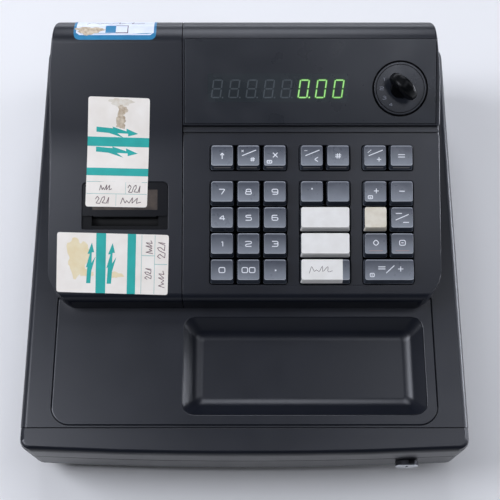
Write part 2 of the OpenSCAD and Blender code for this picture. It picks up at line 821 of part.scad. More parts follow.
// Contact board below the keys and main board on the deck
module circuit_boards() color(BOARD) {
    on_keyboard() block([guide_left, lowest_row - guide_margin, -board_top - board_t],
        [guide_right, function_row + guide_margin, -board_top]);
    difference() {
        block([main_board_left, main_board_front, deck_z + board_post_h],
            [main_board_right, main_board_back, deck_z + board_post_h + board_t]);
        translate([wiring_x + (wiring_w - lead_slot_w) / 2, wiring_y, deck_z])
            cube([lead_slot_w, lead_slot_d, 2 * board_post_h]);
    }
}

module display_window() color(SMOKED) on_display() difference() {
    block([pocket_left + window_gap, window_start + window_gap, -window_t],
        [pocket_right - window_gap, window_start + window_l, 0]);
    translate([mode_x, mode_up, -window_t - cut]) cylinder(r = mode_r + mode_window_gap, h = window_t + 2 * cut);
}

// Front tube for the clerk and back tube for the customer
module display_tubes() color(TUBE) {
    on_display() block([digits_left - tube_margin, digits_low - tube_margin, -window_t - backing_t - tube_t],
        [digits_right + tube_margin, digits_high + tube_margin, -window_t - backing_t]);
    on_back()
        block([customer_x - customer_w / 2, customer_down - customer_h / 2, -wall - customer_flange_t - tube_t],
            [customer_x + customer_w / 2, customer_down + customer_h / 2, -wall - customer_flange_t]);
}

module customer_window() color(SMOKED) on_back() {
    block([customer_x - customer_w / 2 + window_gap, customer_down - customer_h / 2 + window_gap, -wall - touch],
        [customer_x + customer_w / 2 - window_gap, customer_down + customer_h / 2 - window_gap, 0]);
    block([customer_x - customer_w / 2 - customer_flange, customer_down - customer_h / 2 - customer_flange,
        -wall - customer_flange_t],
        [customer_x + customer_w / 2 + customer_flange, customer_down + customer_h / 2 + customer_flange, -wall]);
}

module transformer() color(STEEL) translate([transformer_x, transformer_y, deck_z]) {
    block([-transformer_w / 2, -transformer_stack / 2, 0], [transformer_w / 2, transformer_stack / 2, transformer_h]);
    block([-transformer_w / 2 + transformer_leg, -transformer_d / 2, transformer_leg],
        [transformer_w / 2 - transformer_leg, transformer_d / 2, transformer_h - transformer_leg]);
}

// Bushing in the back wall that the mains lead passes through
module cord_bushing() color(DARK) translate([entry_x, case_back, entry_z]) rotate([-90, 0, 0]) difference() {
    union() {
        translate([0, 0, -wall - entry_inside]) cylinder(r = entry_r, h = wall + entry_inside + touch);
        cylinder(r = entry_flange_r, h = entry_flange_t);
        cylinder(r = entry_r, h = entry_out);
    }
    translate([0, 0, -case_back]) cylinder(r = entry_bore_r, h = 2 * case_back);
}

module feet() color(DARK)
    for (x = [-foot_x, foot_x])
        for (y = foot_ys)
            translate([x, y, 0]) cylinder(r = foot_r, h = foot_h);

// Screws that hold the upper case on the lower case
module screws() color(STEEL)
    for (x = [-post_x, post_x])
        for (y = post_ys)
            translate([x, y, foot_h]) difference() {
                union() {
                    translate([0, 0, -screw_head_h]) cylinder(r = screw_head_r, h = screw_head_h);
                    translate([0, 0, -touch]) cylinder(r = screw_r, h = wall + screw_l - cut);
                }
                translate([0, 0, -screw_head_h]) cube([cross_l, cross_w, 2 * cross_d], center = true);
                translate([0, 0, -screw_head_h]) cube([cross_w, cross_l, 2 * cross_d], center = true);
            }

module printer_frame() color(STEEL) {
    block([frame_left, frame_front, bed_z], [frame_right, frame_back, plate_top]);
    difference() {
        for (x = [frame_left, frame_right - frame_t])
            along_x(x, x + frame_t) polygon([
                [frame_front, bed_z], [frame_back, bed_z],
                [roll_y + side_behind_roll, roll_z + side_over_roll],
                [roll_y - side_before_roll, roll_z + side_over_roll],
                [feed_y + side_behind_feed, feed_z + side_over_feed],
                [feed_y - side_before_feed, feed_z + side_over_feed],
                [frame_front, drum_z + side_over_drum]
            ]);
        rod_x(frame_left - cut, frame_right + cut, drum_y, drum_z, shaft_drum_r + shaft_clearance);
        rod_x(frame_left - cut, frame_right + cut, feed_y, feed_z, shaft_feed_r + shaft_clearance);
    }
    rod_x(frame_left + frame_t - touch, frame_left + frame_t + core_pin_l, roll_y, roll_z, core_r - shaft_clearance);
    rod_x(frame_right - frame_t - core_pin_l, frame_right - frame_t + touch, roll_y, roll_z, core_r - shaft_clearance);
}

module printer_motor() color(STEEL) {
    rod_x(motor_x, motor_x + motor_l, motor_y, motor_z, motor_r);
    rod_x(frame_left + frame_t + cut, motor_x + touch, motor_y, motor_z, motor_shaft_r);
    block([motor_x + motor_foot_inset, motor_y - motor_r, plate_top],
        [motor_x + motor_l - motor_foot_inset, motor_y + motor_r, plate_top + motor_foot_h + motor_foot_lap]);
}

// Spur gear outline with slim straight-sided teeth
module gear_outline(teeth) {
    pitch_r = gear_module * teeth / 2;
    root_r = pitch_r - dedendum * gear_module;
    tip_r = pitch_r + addendum * gear_module;
    step = 360 / teeth;
    flank = [[root_half, root_r], [pitch_half, pitch_r], [tip_half, tip_r]];
    polygon([
        for (i = [0 : teeth - 1])
            for (p = concat([for (q = flank) [-q[0], q[1]]], [for (k = [2 : -1 : 0]) flank[k]]))
                let (a = -(i + p[0]) * step)
                    [p[1] * cos(a), p[1] * sin(a)]
    ]);
}

module gear(y, z, teeth, turn) translate([gear_x, y, z]) rotate([90, 0, 90])
    rotate([0, 0, turn]) linear_extrude(gear_w) gear_outline(teeth);

module print_drum() color(DARK) {
    rod_x(rollers_left, rollers_right, drum_y, drum_z, drum_r);
    rod_x(frame_left - cut, frame_right + cut, drum_y, drum_z, shaft_drum_r);
    gear(drum_y, drum_z, drum_teeth, gear_angle);
}

module feed_roller() color(DARK) {
    rod_x(rollers_left, rollers_right, feed_y, feed_z, feed_r);
    rod_x(frame_left - cut, frame_right + cut, feed_y, feed_z, shaft_feed_r);
    gear(feed_y, feed_z, feed_teeth, gear_angle + 180 + 180 / feed_teeth);
}

module paper_roll() color(PAPER) difference() {
    rod_x(roll_left, roll_left + roll_w, roll_y, roll_z, roll_r);
    rod_x(roll_left - cut, roll_left + roll_w + cut, roll_y, roll_z, core_r);
}

module printer_cover() color(CHARCOAL) difference() {
    console_solid(-console_w / 2, -split_x - split_gap / 2, deck_z + cover_lift, 0, cover_outline);
    console_solid(-console_w / 2 + wall, -split_x - split_gap / 2 - wall, deck_z - cut, wall, inner_outline(wall));
    block([-split_x - split_gap / 2 - wall - cut, bed_front - bed_gap, deck_z],
        [-split_x, bed_back + bed_gap, bed_z + cover_lift]);
    on_keyboard() translate([0, 0, -recess_d]) linear_extrude(recess_d + cut)
        rounded_plan(slot_x - recess_w / 2, slot_x + recess_w / 2, recess_low, recess_high, edge_r, recess_corner_r);
    on_keyboard() block([slot_x - slot_w / 2, slot_low, -2 * wall], [slot_x + slot_w / 2, slot_high, cut]);
}

// Clear pane with a serrated tear edge above the receipt slot
module receipt_window() color(AMBER) on_keyboard() translate([0, 0, -recess_d]) linear_extrude(pane_t) {
    left = slot_x - recess_w / 2 + pane_gap;
    right = slot_x + recess_w / 2 - pane_gap;
    teeth = floor((slot_w - 2 * teeth_margin) / tooth_w);
    polygon(concat(
        [[left, pane_low], [slot_x - teeth * tooth_w / 2, pane_low]],
        [for (i = [0 : teeth - 1]) each [
            [slot_x + (i + 0.5 - teeth / 2) * tooth_w, pane_low - tooth_h],
            [slot_x + (i + 1 - teeth / 2) * tooth_w, pane_low]
        ]],
        [[right, pane_low], [right, recess_high - pane_corner], [right - pane_corner, recess_high - pane_gap],
            [left + pane_corner, recess_high - pane_gap], [left, recess_high - pane_corner]]
    ));
}

module lock_barrel() color(DARK) on_display() translate([mode_x, mode_up, 0]) difference() {
    union() {
        translate([0, 0, -mode_in]) cylinder(r = mode_r, h = mode_in + mode_out);
        translate([0, 0, -window_t - backing_t - mode_collar_h - mode_collar_gap])
            cylinder(r = mode_collar_r, h = mode_collar_h);
    }
    rotate([0, 0, mode_turn]) block([-blade_w / 2 - blade_gap, -blade_t / 2 - blade_gap, -blade_slot_in],
        [blade_w / 2 + blade_gap, blade_t / 2 + blade_gap, mode_out + cut]);
}

module mode_key() color(DARK) on_display() translate([mode_x, mode_up, 0]) rotate([0, 0, mode_turn]) {
    difference() {
        translate([0, bow_t / 2, bow_stand + bow_r]) rotate([90, 0, 0]) cylinder(r = bow_r, h = bow_t);
        translate([0, bow_t, bow_stand + bow_hole_up]) rotate([90, 0, 0]) cylinder(r = bow_hole_r, h = 2 * bow_t);
    }
    block([-blade_w / 2, -blade_t / 2, -blade_in], [blade_w / 2, blade_t / 2, bow_stand + blade_lap]);
}

module drawer_box() color(STEEL) difference() {
    block([-drawer_w / 2, drawer_start, drawer_low], [drawer_w / 2, drawer_start + drawer_d, drawer_low + drawer_h]);
    block([-drawer_w / 2 + drawer_wall, drawer_start + drawer_wall, drawer_low + drawer_wall],
        [drawer_w / 2 - drawer_wall, drawer_start + drawer_d - drawer_wall, drawer_low + drawer_h + cut]);
}

// Plan outline of the drawer front: a shallow arc with round ends
function drawer_bow_r() = (pow(case_w / 2, 2) + drawer_bow * drawer_bow) / (2 * drawer_bow);
function drawer_face_y(x, d) = -drawer_face + d + drawer_bow_r() - sqrt(pow(drawer_bow_r(), 2) - x * x);
function drawer_plan(d) =
    let (half = case_w / 2 - d, back = drawer_start, r = drawer_corner_r - d)
    concat(
        [[half, back], [-half, back]],
        corner_arc([-half, back], [-half, drawer_face_y(half, d)], [-half + r, drawer_face_y(half - r, d)],
            r, bow_steps),
        [for (i = [-bow_steps : bow_steps]) let (x = i * half / (bow_steps + 2)) [x, drawer_face_y(x, d)]],
        corner_arc([half - r, drawer_face_y(half - r, d)], [half, drawer_face_y(half, d)], [half, back],
            r, bow_steps)
    );

module drawer_slab(d, low, high) translate([0, 0, low]) linear_extrude(high - low) polygon(drawer_plan(d));

module drawer_front() color(CHARCOAL) difference() {
    union() {
        drawer_slab(0, drawer_front_low + low_step_h, step_z);
        drawer_slab(step_d, drawer_front_low, drawer_top - top_round);
        drawer_slab(0, step_z + step_h, drawer_top - top_round + touch);
        hull() for (a = [0, 45, 90])
            let (z = drawer_top - touch - (top_round - touch) * (1 - sin(a)))
                drawer_slab(top_lean * (1 - cos(a)), z, z + touch);
    }
    difference() {
        block([-case_w / 2 + 2 * face_wall, -drawer_face + drawer_bow + face_wall, drawer_front_low + face_wall],
            [case_w / 2 - 2 * face_wall, -case_front, drawer_top - face_wall]);
        for (x = [-rib_x, rib_x])
            block([x - face_wall / 2, -drawer_face, 0], [x + face_wall / 2, -case_front, deck_z]);
    }
    translate([lock_x, -case_front, lock_z]) rotate([90, 0, 0])
        cylinder(r = lock_barrel_r + lock_clearance, h = drawer_face - case_front + cut);
}

module coin_and_note_bays() {
    for (row = [0 : coin_rows - 1])
        for (i = [0 : coin_cups - 1]) {
            x = -insert_x + insert_wall + i * (cup_w + insert_wall);
            y = insert_front + insert_wall + row * (coin_cup_d + insert_wall);
            block([x, y, insert_floor + insert_wall], [x + cup_w, y + coin_cup_d, insert_top + cut]);
        }
    for (i = [0 : note_bays - 1]) {
        x = -insert_x + insert_wall + i * (bay_w + insert_wall);
        block([x, notes_front, insert_floor + insert_wall], [x + bay_w, insert_back - insert_wall, insert_top + cut]);
    }
}

function bay_middle(i) = -insert_x + insert_wall + bay_w / 2 + i * (bay_w + insert_wall);

module cash_insert() color(DARK) {
    difference() {
        block([-insert_x, insert_front, insert_floor], [insert_x, insert_back, insert_top]);
        coin_and_note_bays();
    }
    for (i = [0 : note_bays - 1]) {
        for (side = [-1, 1])
            translate([bay_middle(i) + side * (clip_w / 2 + lug_gap + lug_t / 2), 0, 0])
                block([-lug_t / 2, clip_pin_y - clip_hub_r, clip_pin_z - clip_hub_r],
                    [lug_t / 2, insert_back - insert_wall + touch, clip_pin_z + clip_hub_r]);
        translate([bay_middle(i), 0, 0])
            rod_x(-clip_w / 2 - lug_t / 2, clip_w / 2 + lug_t / 2, clip_pin_y, clip_pin_z, clip_pin_r);
    }
}

// Note clip that hangs from its pin down to the floor of the note bay
module note_clip(i) color(STEEL) translate([bay_middle(i), clip_pin_y, clip_pin_z]) difference() {
    union() {
        rod_x(-clip_w / 2, clip_w / 2, 0, 0, clip_hub_r);
        rotate([clip_drop, 0, 0]) block([-clip_w / 2 + leaf_inset, -clip_reach, -clip_t / 2],
            [clip_w / 2 - leaf_inset, -clip_pin_r, clip_t / 2]);
    }
    rod_x(-clip_w, clip_w, 0, 0, clip_pin_r + clip_clearance);
    rotate([clip_drop, 0, 0]) block([-clip_w / 2 + leaf_inset + finger_w, -clip_reach - cut, -clip_t],
        [clip_w / 2 - leaf_inset - finger_w, finger_l - clip_reach, clip_t]);
}

module note_clip_left() note_clip(0);
module note_clip_middle() note_clip(1);
module note_clip_right() note_clip(2);

module drawer_lock() color(CHROME) translate([lock_x, 0, lock_z]) rotate([90, 0, 0]) difference() {
    union() {
        translate([0, 0, head_gap - drawer_face_y(lock_x, 0)])
            cylinder(r = lock_r, h = drawer_face_y(lock_x, 0) - head_gap + drawer_face + lock_out);
        translate([0, 0, drawer_face - lock_in]) cylinder(r = lock_barrel_r, h = lock_in);
        translate([0, 0, drawer_face - lock_in]) block([-cam_w, -cam_w, 0], [lock_barrel_r + cam_w, cam_w, cam_t]);
    }
    translate([0, 0, drawer_face + lock_out - keyway_d])
        block([-keyway_w / 2, -keyway_l / 2, 0], [keyway_w / 2, keyway_l / 2, keyway_d + cut]);
}

lower_case();
upper_case();
tray_panel();
console_case();
key_frame();
circuit_boards();
display_window();
display_tubes();
customer_window();
transformer();
cord_bushing();
feet();
screws();
printer_frame();
printer_motor();
printer_cover();
receipt_window();
lock_barrel();
mode_key();
drawer_box();
drawer_front();
cash_insert();
note_clip_left();
note_clip_middle();
note_clip_right();
drawer_lock();
feed_roller();
print_drum();
paper_roll();
for (group = KEY_GROUPS)
    for (key = group[2])
        register_key(group[0], key);
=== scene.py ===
"""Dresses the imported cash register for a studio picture.

Each sub-assembly is a class: the case, the drawer, the console with its keyboard and display,
the printer cover with its pane and stickers, and the works inside. Lengths are in millimetres
until a mesh is placed, and in metres after that.
"""
import logging
import math
from collections.abc import Callable, Sequence
from dataclasses import dataclass, field
from enum import Enum

import bmesh
import bpy
from mathutils import Matrix, Vector


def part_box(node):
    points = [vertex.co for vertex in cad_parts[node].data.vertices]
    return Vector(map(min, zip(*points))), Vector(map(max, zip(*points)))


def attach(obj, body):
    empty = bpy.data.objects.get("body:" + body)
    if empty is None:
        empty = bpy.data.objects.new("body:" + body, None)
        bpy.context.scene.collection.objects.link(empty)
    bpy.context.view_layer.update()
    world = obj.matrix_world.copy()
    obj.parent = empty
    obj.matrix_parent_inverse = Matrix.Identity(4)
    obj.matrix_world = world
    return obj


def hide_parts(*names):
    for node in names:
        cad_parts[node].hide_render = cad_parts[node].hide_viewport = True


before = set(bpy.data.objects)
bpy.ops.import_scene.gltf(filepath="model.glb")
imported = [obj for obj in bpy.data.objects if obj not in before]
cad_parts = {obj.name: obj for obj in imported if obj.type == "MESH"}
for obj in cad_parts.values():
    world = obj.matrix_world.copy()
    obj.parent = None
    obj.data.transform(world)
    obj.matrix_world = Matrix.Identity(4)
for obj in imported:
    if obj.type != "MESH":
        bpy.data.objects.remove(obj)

LOG = logging.getLogger("register")
MM = 0.001
# CAD vertices closer than this are one vertex, in metres
WELD = 0.001 * MM
# What lies within this many millimetres of a plane lies on it
NEAR = 0.01
# Angles in radians: up to the first two faces are one, and from the others on the edge between
# them counts as bent, as a ridge and as sharp
FLAT = math.radians(0.3)
BENT = 0.5
RIDGE = math.radians(40)
SHARP = 1.0
# A unit vector with this much of its length along an axis follows the axis
ALONG = 0.9
# The values that noise hardly leaves, where the ramps start and end
NOISE_LOW = 0.3
NOISE_HIGH = 0.7
# How far from a corner a stroke starts to turn, as a share of its sign's smaller side
PEN_TURN = 0.26

Piece = bpy.types.Object
Point = tuple[float, float]
# Left, lower, right and upper side
Area = tuple[float, float, float, float]
# Drawn lines in a box of side 1
Glyph = list[list[Point]]


class Part(Enum):
    """What an edit mode selection is made of."""

    EDGES = "EDGE"
    FACES = "FACE"


def linear(colour: str) -> tuple[float, float, float, float]:
    """Turns an sRGB hex colour into the linear colour that a shader reads.

    Args:
        colour: The colour as #rrggbb.

    Returns:
        Red, green, blue and an opaque alpha.
    """
    parts = [int(colour[i:i + 2], 16) / 255 for i in (1, 3, 5)]
    bent = [p / 12.92 if p <= 0.04045 else ((p + 0.055) / 1.055) ** 2.4 for p in parts]
    return (*bent, 1.0)


def add_node(tree: bpy.types.NodeTree, kind: str, inputs: dict | None = None,
             **settings) -> bpy.types.Node:
    """Adds a shader node with its settings, constants and links.

    Args:
        tree: The node tree of a material or world.
        kind: The node's type name.
        inputs: Socket name or number, to a constant or to the socket that feeds it.
        settings: The node's own properties.

    Returns:
        The new node.
    """
    node = tree.nodes.new(kind)
    for name, value in settings.items():
        setattr(node, name, value)
    for socket, source in (inputs or {}).items():
        if isinstance(source, bpy.types.NodeSocket):
            tree.links.new(source, node.inputs[socket])
        else:
            node.inputs[socket].default_value = source
    return node


def ramp(tree: bpy.types.NodeTree, factor: bpy.types.NodeSocket,
         stops: Sequence[tuple[float, str]]) -> bpy.types.NodeSocket:
    """Adds a colour ramp.

    Args:
        tree: The node tree.
        factor: The socket that drives the ramp.
        stops: Positions and hex colours, from low to high.

    Returns:
        The ramp's colour socket.
    """
    node = add_node(tree, "ShaderNodeValToRGB", {"Fac": factor})
    elements = node.color_ramp.elements
    while len(elements) < len(stops):
        elements.new(0.5)
    for element, (position, colour) in zip(elements, stops):
        element.position = position
        element.color = linear(colour)
    return node.outputs["Color"]


@dataclass(frozen=True)
class Finish:
    """A surface of one real material.

    grain_mm is the size of the texture's bumps, mottle_mm that of its slow colour changes, and
    light and dark are the two colours that it wanders between. The real grain of the mould is
    0.1 to 0.2 mm, too fine to show at the photo's scale, so it is drawn 0.4 to 0.9 mm wide.
    """

    name: str
    dark: str
    light: str
    roughness: float = 0.5
    metallic: float = 0.0
    coat: float = 0.0
    ior: float = 1.5
    specular: float = 0.5
    grain_mm: float = 0.9
    mottle_mm: float = 40.0
    bump: float = 0.15
    bump_mm: float = 0.03
    wear: float = 0.08

    def material(self) -> bpy.types.Material:
        """Returns the material, made on first use."""
        return bpy.data.materials.get(self.name) or self.build()

    def build(self) -> bpy.types.Material:
        """Makes the material.

        Returns:
            A material whose colour, gloss and fine relief come from noise in object coordinates.
        """
        material = bpy.data.materials.new(self.name)
        material.use_nodes = True
        tree = material.node_tree
        shader = tree.nodes["Principled BSDF"]
        for socket, value in (("Metallic", self.metallic), ("Coat Weight", self.coat),
                              ("IOR", self.ior), ("Specular IOR Level", self.specular)):
            shader.inputs[socket].default_value = value
        tree.links.new(self.colour(tree), shader.inputs["Base Color"])
        tree.links.new(self.gloss(tree), shader.inputs["Roughness"])
        tree.links.new(self.relief(tree), shader.inputs["Normal"])
        return material

    def noise(self, tree: bpy.types.NodeTree, size_mm: float,
              detail: float) -> bpy.types.NodeSocket:
        """Adds noise whose features have a real size.

        Args:
            tree: The node tree.
            size_mm: The size of a feature.
            detail: How much finer noise rides on it.

        Returns:
            The noise's factor socket.
        """
        place = add_node(tree, "ShaderNodeTexCoord").outputs["Object"]
        settings = {"Vector": place, "Scale": 1 / (size_mm * MM), "Detail": detail}
        return add_node(tree, "ShaderNodeTexNoise", settings).outputs["Fac"]

    def colour(self, tree: bpy.types.NodeTree) -> bpy.types.NodeSocket:
        """Returns the colour socket, which wanders slowly between dark and light."""
        return ramp(tree, self.noise(tree, self.mottle_mm, 3),
                    [(NOISE_LOW, self.dark), (NOISE_HIGH, self.light)])

    def gloss(self, tree: bpy.types.NodeTree) -> bpy.types.NodeSocket:
        """Adds a roughness that is a little higher where hands have dulled the surface.

        Args:
            tree: The node tree.

        Returns:
            The roughness socket.
        """
        low, high = self.roughness - self.wear / 2, self.roughness + self.wear / 2
        limits = {"Value": self.noise(tree, self.mottle_mm / 2, 4), "From Min": NOISE_LOW,
                  "From Max": NOISE_HIGH, "To Min": low, "To Max": high}
        return add_node(tree, "ShaderNodeMapRange", limits).outputs["Result"]

    def relief(self, tree: bpy.types.NodeTree) -> bpy.types.NodeSocket:
        """Adds the fine relief of the mould or the brush.

        Args:
            tree: The node tree.

        Returns:
            The normal socket.
        """
        height = self.noise(tree, self.grain_mm, 2)
        settings = {"Height": height, "Strength": self.bump, "Distance": self.bump_mm * MM}
        return add_node(tree, "ShaderNodeBump", settings).outputs["Normal"]


# The map that tells how far a point of a cap is from its left and its front side, from 0 to 1
CAP_UV = "cap"


@dataclass(frozen=True)
class CapFinish(Finish):
    """Clear moulded key cap over a grey card, with a painted sheen: paler towards its front edge.

    cloud is the share of the noise in the gradient, and front and back are where it starts and
    ends, from 0 at the front edge to 1 at the back.
    """

    cloud: float = 0.3
    front: float = 0.22
    back: float = 1.02

    def colour(self, tree: bpy.types.NodeTree) -> bpy.types.NodeSocket:
        """Adds the painted sheen: a soft gradient from the darker back of a cap to its paler front.

        Args:
            tree: The node tree.

        Returns:
            The colour socket.
        """
        place = add_node(tree, "ShaderNodeUVMap", uv_map=CAP_UV).outputs["UV"]
        up = add_node(tree, "ShaderNodeSeparateXYZ", {"Vector": place}).outputs["Y"]
        noise = self.noise(tree, self.mottle_mm, 3)
        swing = add_node(tree, "ShaderNodeMath", {0: noise, 1: self.cloud, 2: up},
                         operation="MULTIPLY_ADD").outputs[0]
        return ramp(tree, swing, [(self.front, self.light), (self.back, self.dark)])


@dataclass(frozen=True)
class GlowFinish(Finish):
    """Phosphor of a lit tube segment, with an even glow of its own."""

    strength: float = 1.0

    def build(self) -> bpy.types.Material:
        """Makes the glowing material.

        Returns:
            The material.
        """
        material = super().build()
        shader = material.node_tree.nodes["Principled BSDF"]
        shader.inputs["Emission Color"].default_value = linear(self.light)
        shader.inputs["Emission Strength"].default_value = self.strength
        return material


# Black ABS moulded against an etched tool: satin, faintly blue, with a sand-fine grain
CASE_ABS = Finish("Moulded black ABS", "#11141c", "#13161f", roughness=0.33, bump=0.25, wear=0.03)
# Smoked acrylic seen over a black card: smooth, dark and evenly glossy
SMOKED_ACRYLIC = Finish("Smoked acrylic", "#1d2026", "#21242a", roughness=0.3, bump=0.03)
# The same sheet over the display tube, whose glass gives it a green tinge
TUBE_ACRYLIC = Finish("Smoked acrylic over the tube", "#20262a", "#252b2f", roughness=0.28,
                      bump=0.03)
# Brown polycarbonate with the paper bay behind it: warm and uneven, as if half clear
PANE = Finish("Brown polycarbonate over the paper bay", "#2b2420", "#4a4038", roughness=0.16,
              specular=0.3, mottle_mm=9, bump=0.03)
# The same pane where the black cover lies behind it: nearly black and smooth
PANE_EDGE = Finish("Smoked polycarbonate over the cover", "#0d0e12", "#111216", roughness=0.2,
                   specular=0.16, bump=0.03)
# The same black ABS with painted shade in the recess around the slot: darker and dull
RECESS_SHADE_ABS = Finish("Black ABS in painted recess shade", "#08090b", "#0c0d10", roughness=0.5,
                    specular=0.16, bump=0.2)
# Clear polycarbonate caps over grey cards: bluish grey with a bright, smooth surface, and a painted
# sheen that makes them paler towards the front edge
CAP_TOP_SHEEN = CapFinish("Clear polycarbonate cap", "#4a4e57", "#8b9097", roughness=0.3, bump=0.04,
                    mottle_mm=9)
# Sides of the caps, which turn away from the light: darker and bluer than their tops
CAP_SKIRT = Finish("Dark polycarbonate skirt", "#363b44", "#40454e", roughness=0.24, bump=0.04,
                   coat=0.3)
# Front edges of the caps, with a painted highlight: a pale line round the front of each top
CAP_RIM_HIGHLIGHT = Finish("Polycarbonate rim with painted highlight", "#a0a4ab", "#c4c8cd", roughness=0.3, bump=0.04)
# The step at the foot of a cap, with a painted highlight that is fainter since it lies in the
# shade: a fainter line
CAP_FOOT_HIGHLIGHT = Finish("Foot of a cap with painted highlight", "#6a6f79", "#82878f", roughness=0.3, bump=0.04)
# Card edge that shows through the front of the caps in the upper row: a warm grey
CARD_EDGE = Finish("Card edge under polycarbonate", "#6d6a6c", "#86827f", roughness=0.35, bump=0.03)
# Pad-printed ink on the caps: flat white
CAP_INK = Finish("White pad-printed ink", "#e2e4e8", "#f1f2f4", roughness=0.5, bump=0.02)
# The same print on the dial, worn and in the shade of the key: grey
DIAL_INK = Finish("Grey pad-printed ink", "#7a7d86", "#8e9199", roughness=0.5, bump=0.02)
# Strip of tape on two caps: dull pink
PINK_TAPE = Finish("Faded pink tape", "#9c8582", "#ad9692", roughness=0.5, bump=0.02)
# Cards on the department keys, white and smooth, and the one that has aged to cream
CARD_PAPER = Finish("White label card", "#ebe8e1", "#f3f1eb", roughness=0.7, mottle_mm=8,
                    grain_mm=0.5, bump=0.1)
CREAM_PAPER = Finish("Aged cream label", "#dcd2bd", "#ebe4d3", roughness=0.7, mottle_mm=6,
                     grain_mm=0.5, bump=0.1)
# Coated label paper: off white, a little grubby, with a soft fibre relief
LABEL_PAPER = Finish("Coated label paper", "#ede5d9", "#f6f0e6", roughness=0.55, mottle_mm=14,
                     grain_mm=0.6, bump=0.1)
# Face of the label on the crest: coated, cool white and a little glossy
BACK_LABEL = Finish("Glossy label paper", "#d3dae8", "#e9eef6", roughness=0.35, mottle_mm=14,
                    bump=0.05)
# Printing inks of the labels: full teal, thin teal rules, and the blue of the label on the crest
TEAL_INK = Finish("Teal printing ink", "#0aa29a", "#15afa6", roughness=0.5, mottle_mm=10, bump=0.05)
PALE_TEAL_INK = Finish("Thin teal rules", "#7fb3ab", "#97c2bb", roughness=0.5, bump=0.02)
BLUE_INK = Finish("Blue printing ink", "#0f6f9c", "#1c83b0", roughness=0.4, mottle_mm=10, bump=0.05)
# Ballpoint: thin and dark brown on the paper
PEN_INK = Finish("Dark pen ink", "#4a3038", "#6a4450", roughness=0.5, bump=0.02)
# Torn face paper with old glue: brown fibres in uneven blots
TORN_PAPER = Finish("Torn label with old glue", "#a8937a", "#dccfb9", roughness=0.8, mottle_mm=2.5,
                    grain_mm=0.5, bump=0.4)
# Glue that has yellowed through the paper: warm and matt
STAIN = Finish("Yellow glue stain", "#e9d6a9", "#eee0bc", roughness=0.7, mottle_mm=6, grain_mm=0.6,
               bump=0.1)
# Chromed brass: the default metal response with a bright, almost white tint
CHROME = Finish("Chromed brass", "#c4c8ce", "#dcdfe4", roughness=0.14, metallic=1.0, bump=0.02)
# Die-cast barrel behind the chromed face, darkened as painted shade so that only the face shines:
# dull and dark
BARREL = Finish("Die-cast barrel in painted shade", "#2c2d31", "#3a3b40", roughness=0.5, metallic=0.6,
                bump=0.1)
# Moulded rubber of the feet and bushing: black and matt
RUBBER = Finish("Black rubber", "#161616", "#1f1f1f", roughness=0.85, grain_mm=0.6, bump=0.3)
# Painted shade for grooves and gaps that no light reaches: black without gloss
SHADOW = Finish("Matt black painted shade", "#020203", "#040405", roughness=0.8, specular=0.05, bump=0.0)
# Acetal of the key's bow and the switch: deep black with a small sheen
KEY_PLASTIC = Finish("Black plastic key bow", "#040506", "#07080a", roughness=0.3, specular=0.14,
                     bump=0.05)
# Acrylic of the dial, polished by turning: as dark as the window and glossier
DIAL_ACRYLIC = Finish("Polished black dial", "#1d2026", "#21242a", roughness=0.24, bump=0.0)
# Thin smear of glue where a label was pulled off: hardly darker than the paper
OLD_GLUE = Finish("Thin old glue", "#d8cdb9", "#e6e0d3", roughness=0.7, mottle_mm=2.5, grain_mm=0.6,
                  bump=0.1)
# Lit phosphor, the glow round it in the glass, and the grey of the segments that are off
PHOSPHOR = GlowFinish("Lit green phosphor", "#62a347", "#92c978", roughness=0.5, bump=0.0,
                      strength=0.66)
HALO = GlowFinish("Green glow in the glass", "#163013", "#214a18", roughness=0.4, bump=0.0,
                  strength=0.5)
PHOSPHOR_OFF = Finish("Unlit phosphor", "#3b4246", "#444c50", roughness=0.4, bump=0.0)
# Works inside: bright rolled steel, satin grey enamel, green board, dark glass, dull ABS and
# soft white thermal paper
STEEL = Finish("Cold rolled steel", "#8d9096", "#a9acb2", roughness=0.32, metallic=1.0,
               grain_mm=0.5, bump=0.1)
DRAWER_STEEL = Finish("Grey enamelled steel", "#5b5e63", "#676a70", roughness=0.4, bump=0.08,
                      coat=0.2)
BOARD = Finish("Green epoxy board", "#1f4a2c", "#2b5c38", roughness=0.4, mottle_mm=7, bump=0.1,
               coat=0.3)
TUBE_GLASS = Finish("Grey tube glass", "#1c2b28", "#26393a", roughness=0.1, bump=0.0, coat=0.5)
DARK_ABS = Finish("Dark inner ABS", "#1a1b1d", "#222326", roughness=0.5, bump=0.2)
ROLL_PAPER = Finish("Wound receipt paper", "#e2e1dc", "#f0efeb", roughness=0.8, mottle_mm=5,
                    grain_mm=0.4, bump=0.1)


def focus(piece: Piece) -> None:
    """Makes a piece the only selected and the active one.

    Args:
        piece: The piece that the next operators act on.
    """
    if bpy.context.mode != "OBJECT":
        bpy.ops.object.mode_set(mode="OBJECT")
    bpy.ops.object.select_all(action="DESELECT")
    piece.select_set(True)
    bpy.context.view_layer.objects.active = piece


def choose(piece: Piece, part: Part, test: Callable[..., bool]) -> int:
    """Selects faces or edges of a piece by a test, and leaves it in edit mode.

    Args:
        piece: The piece, with its mesh in millimetres or metres alike.
        part: Faces or edges.
        test: For faces it gets the centre and normal, for edges the middle, the direction,
            the signed angle between the two faces, and the length.

    Returns:
        How many passed.
    """
    focus(piece)
    bpy.context.tool_settings.mesh_select_mode = (False, part is Part.EDGES, part is Part.FACES)
    mesh = bmesh.new()
    mesh.from_mesh(piece.data)
    for thing in [*mesh.verts, *mesh.edges, *mesh.faces]:
        thing.select = False
    if part is Part.FACES:
        chosen = [f for f in mesh.faces if test(f.calc_center_median(), f.normal)]
    else:
        chosen = [e for e in mesh.edges if len(e.link_faces) == 2 and test(
            (e.verts[0].co + e.verts[1].co) / 2, (e.verts[1].co - e.verts[0].co).normalized(),
            e.calc_face_angle_signed(0.0), e.calc_length())]
    for thing in chosen:
        thing.select_set(True)
    mesh.select_mode = {part.value}
    mesh.to_mesh(piece.data)
    mesh.free()
    bpy.ops.object.mode_set(mode="EDIT")
    return len(chosen)


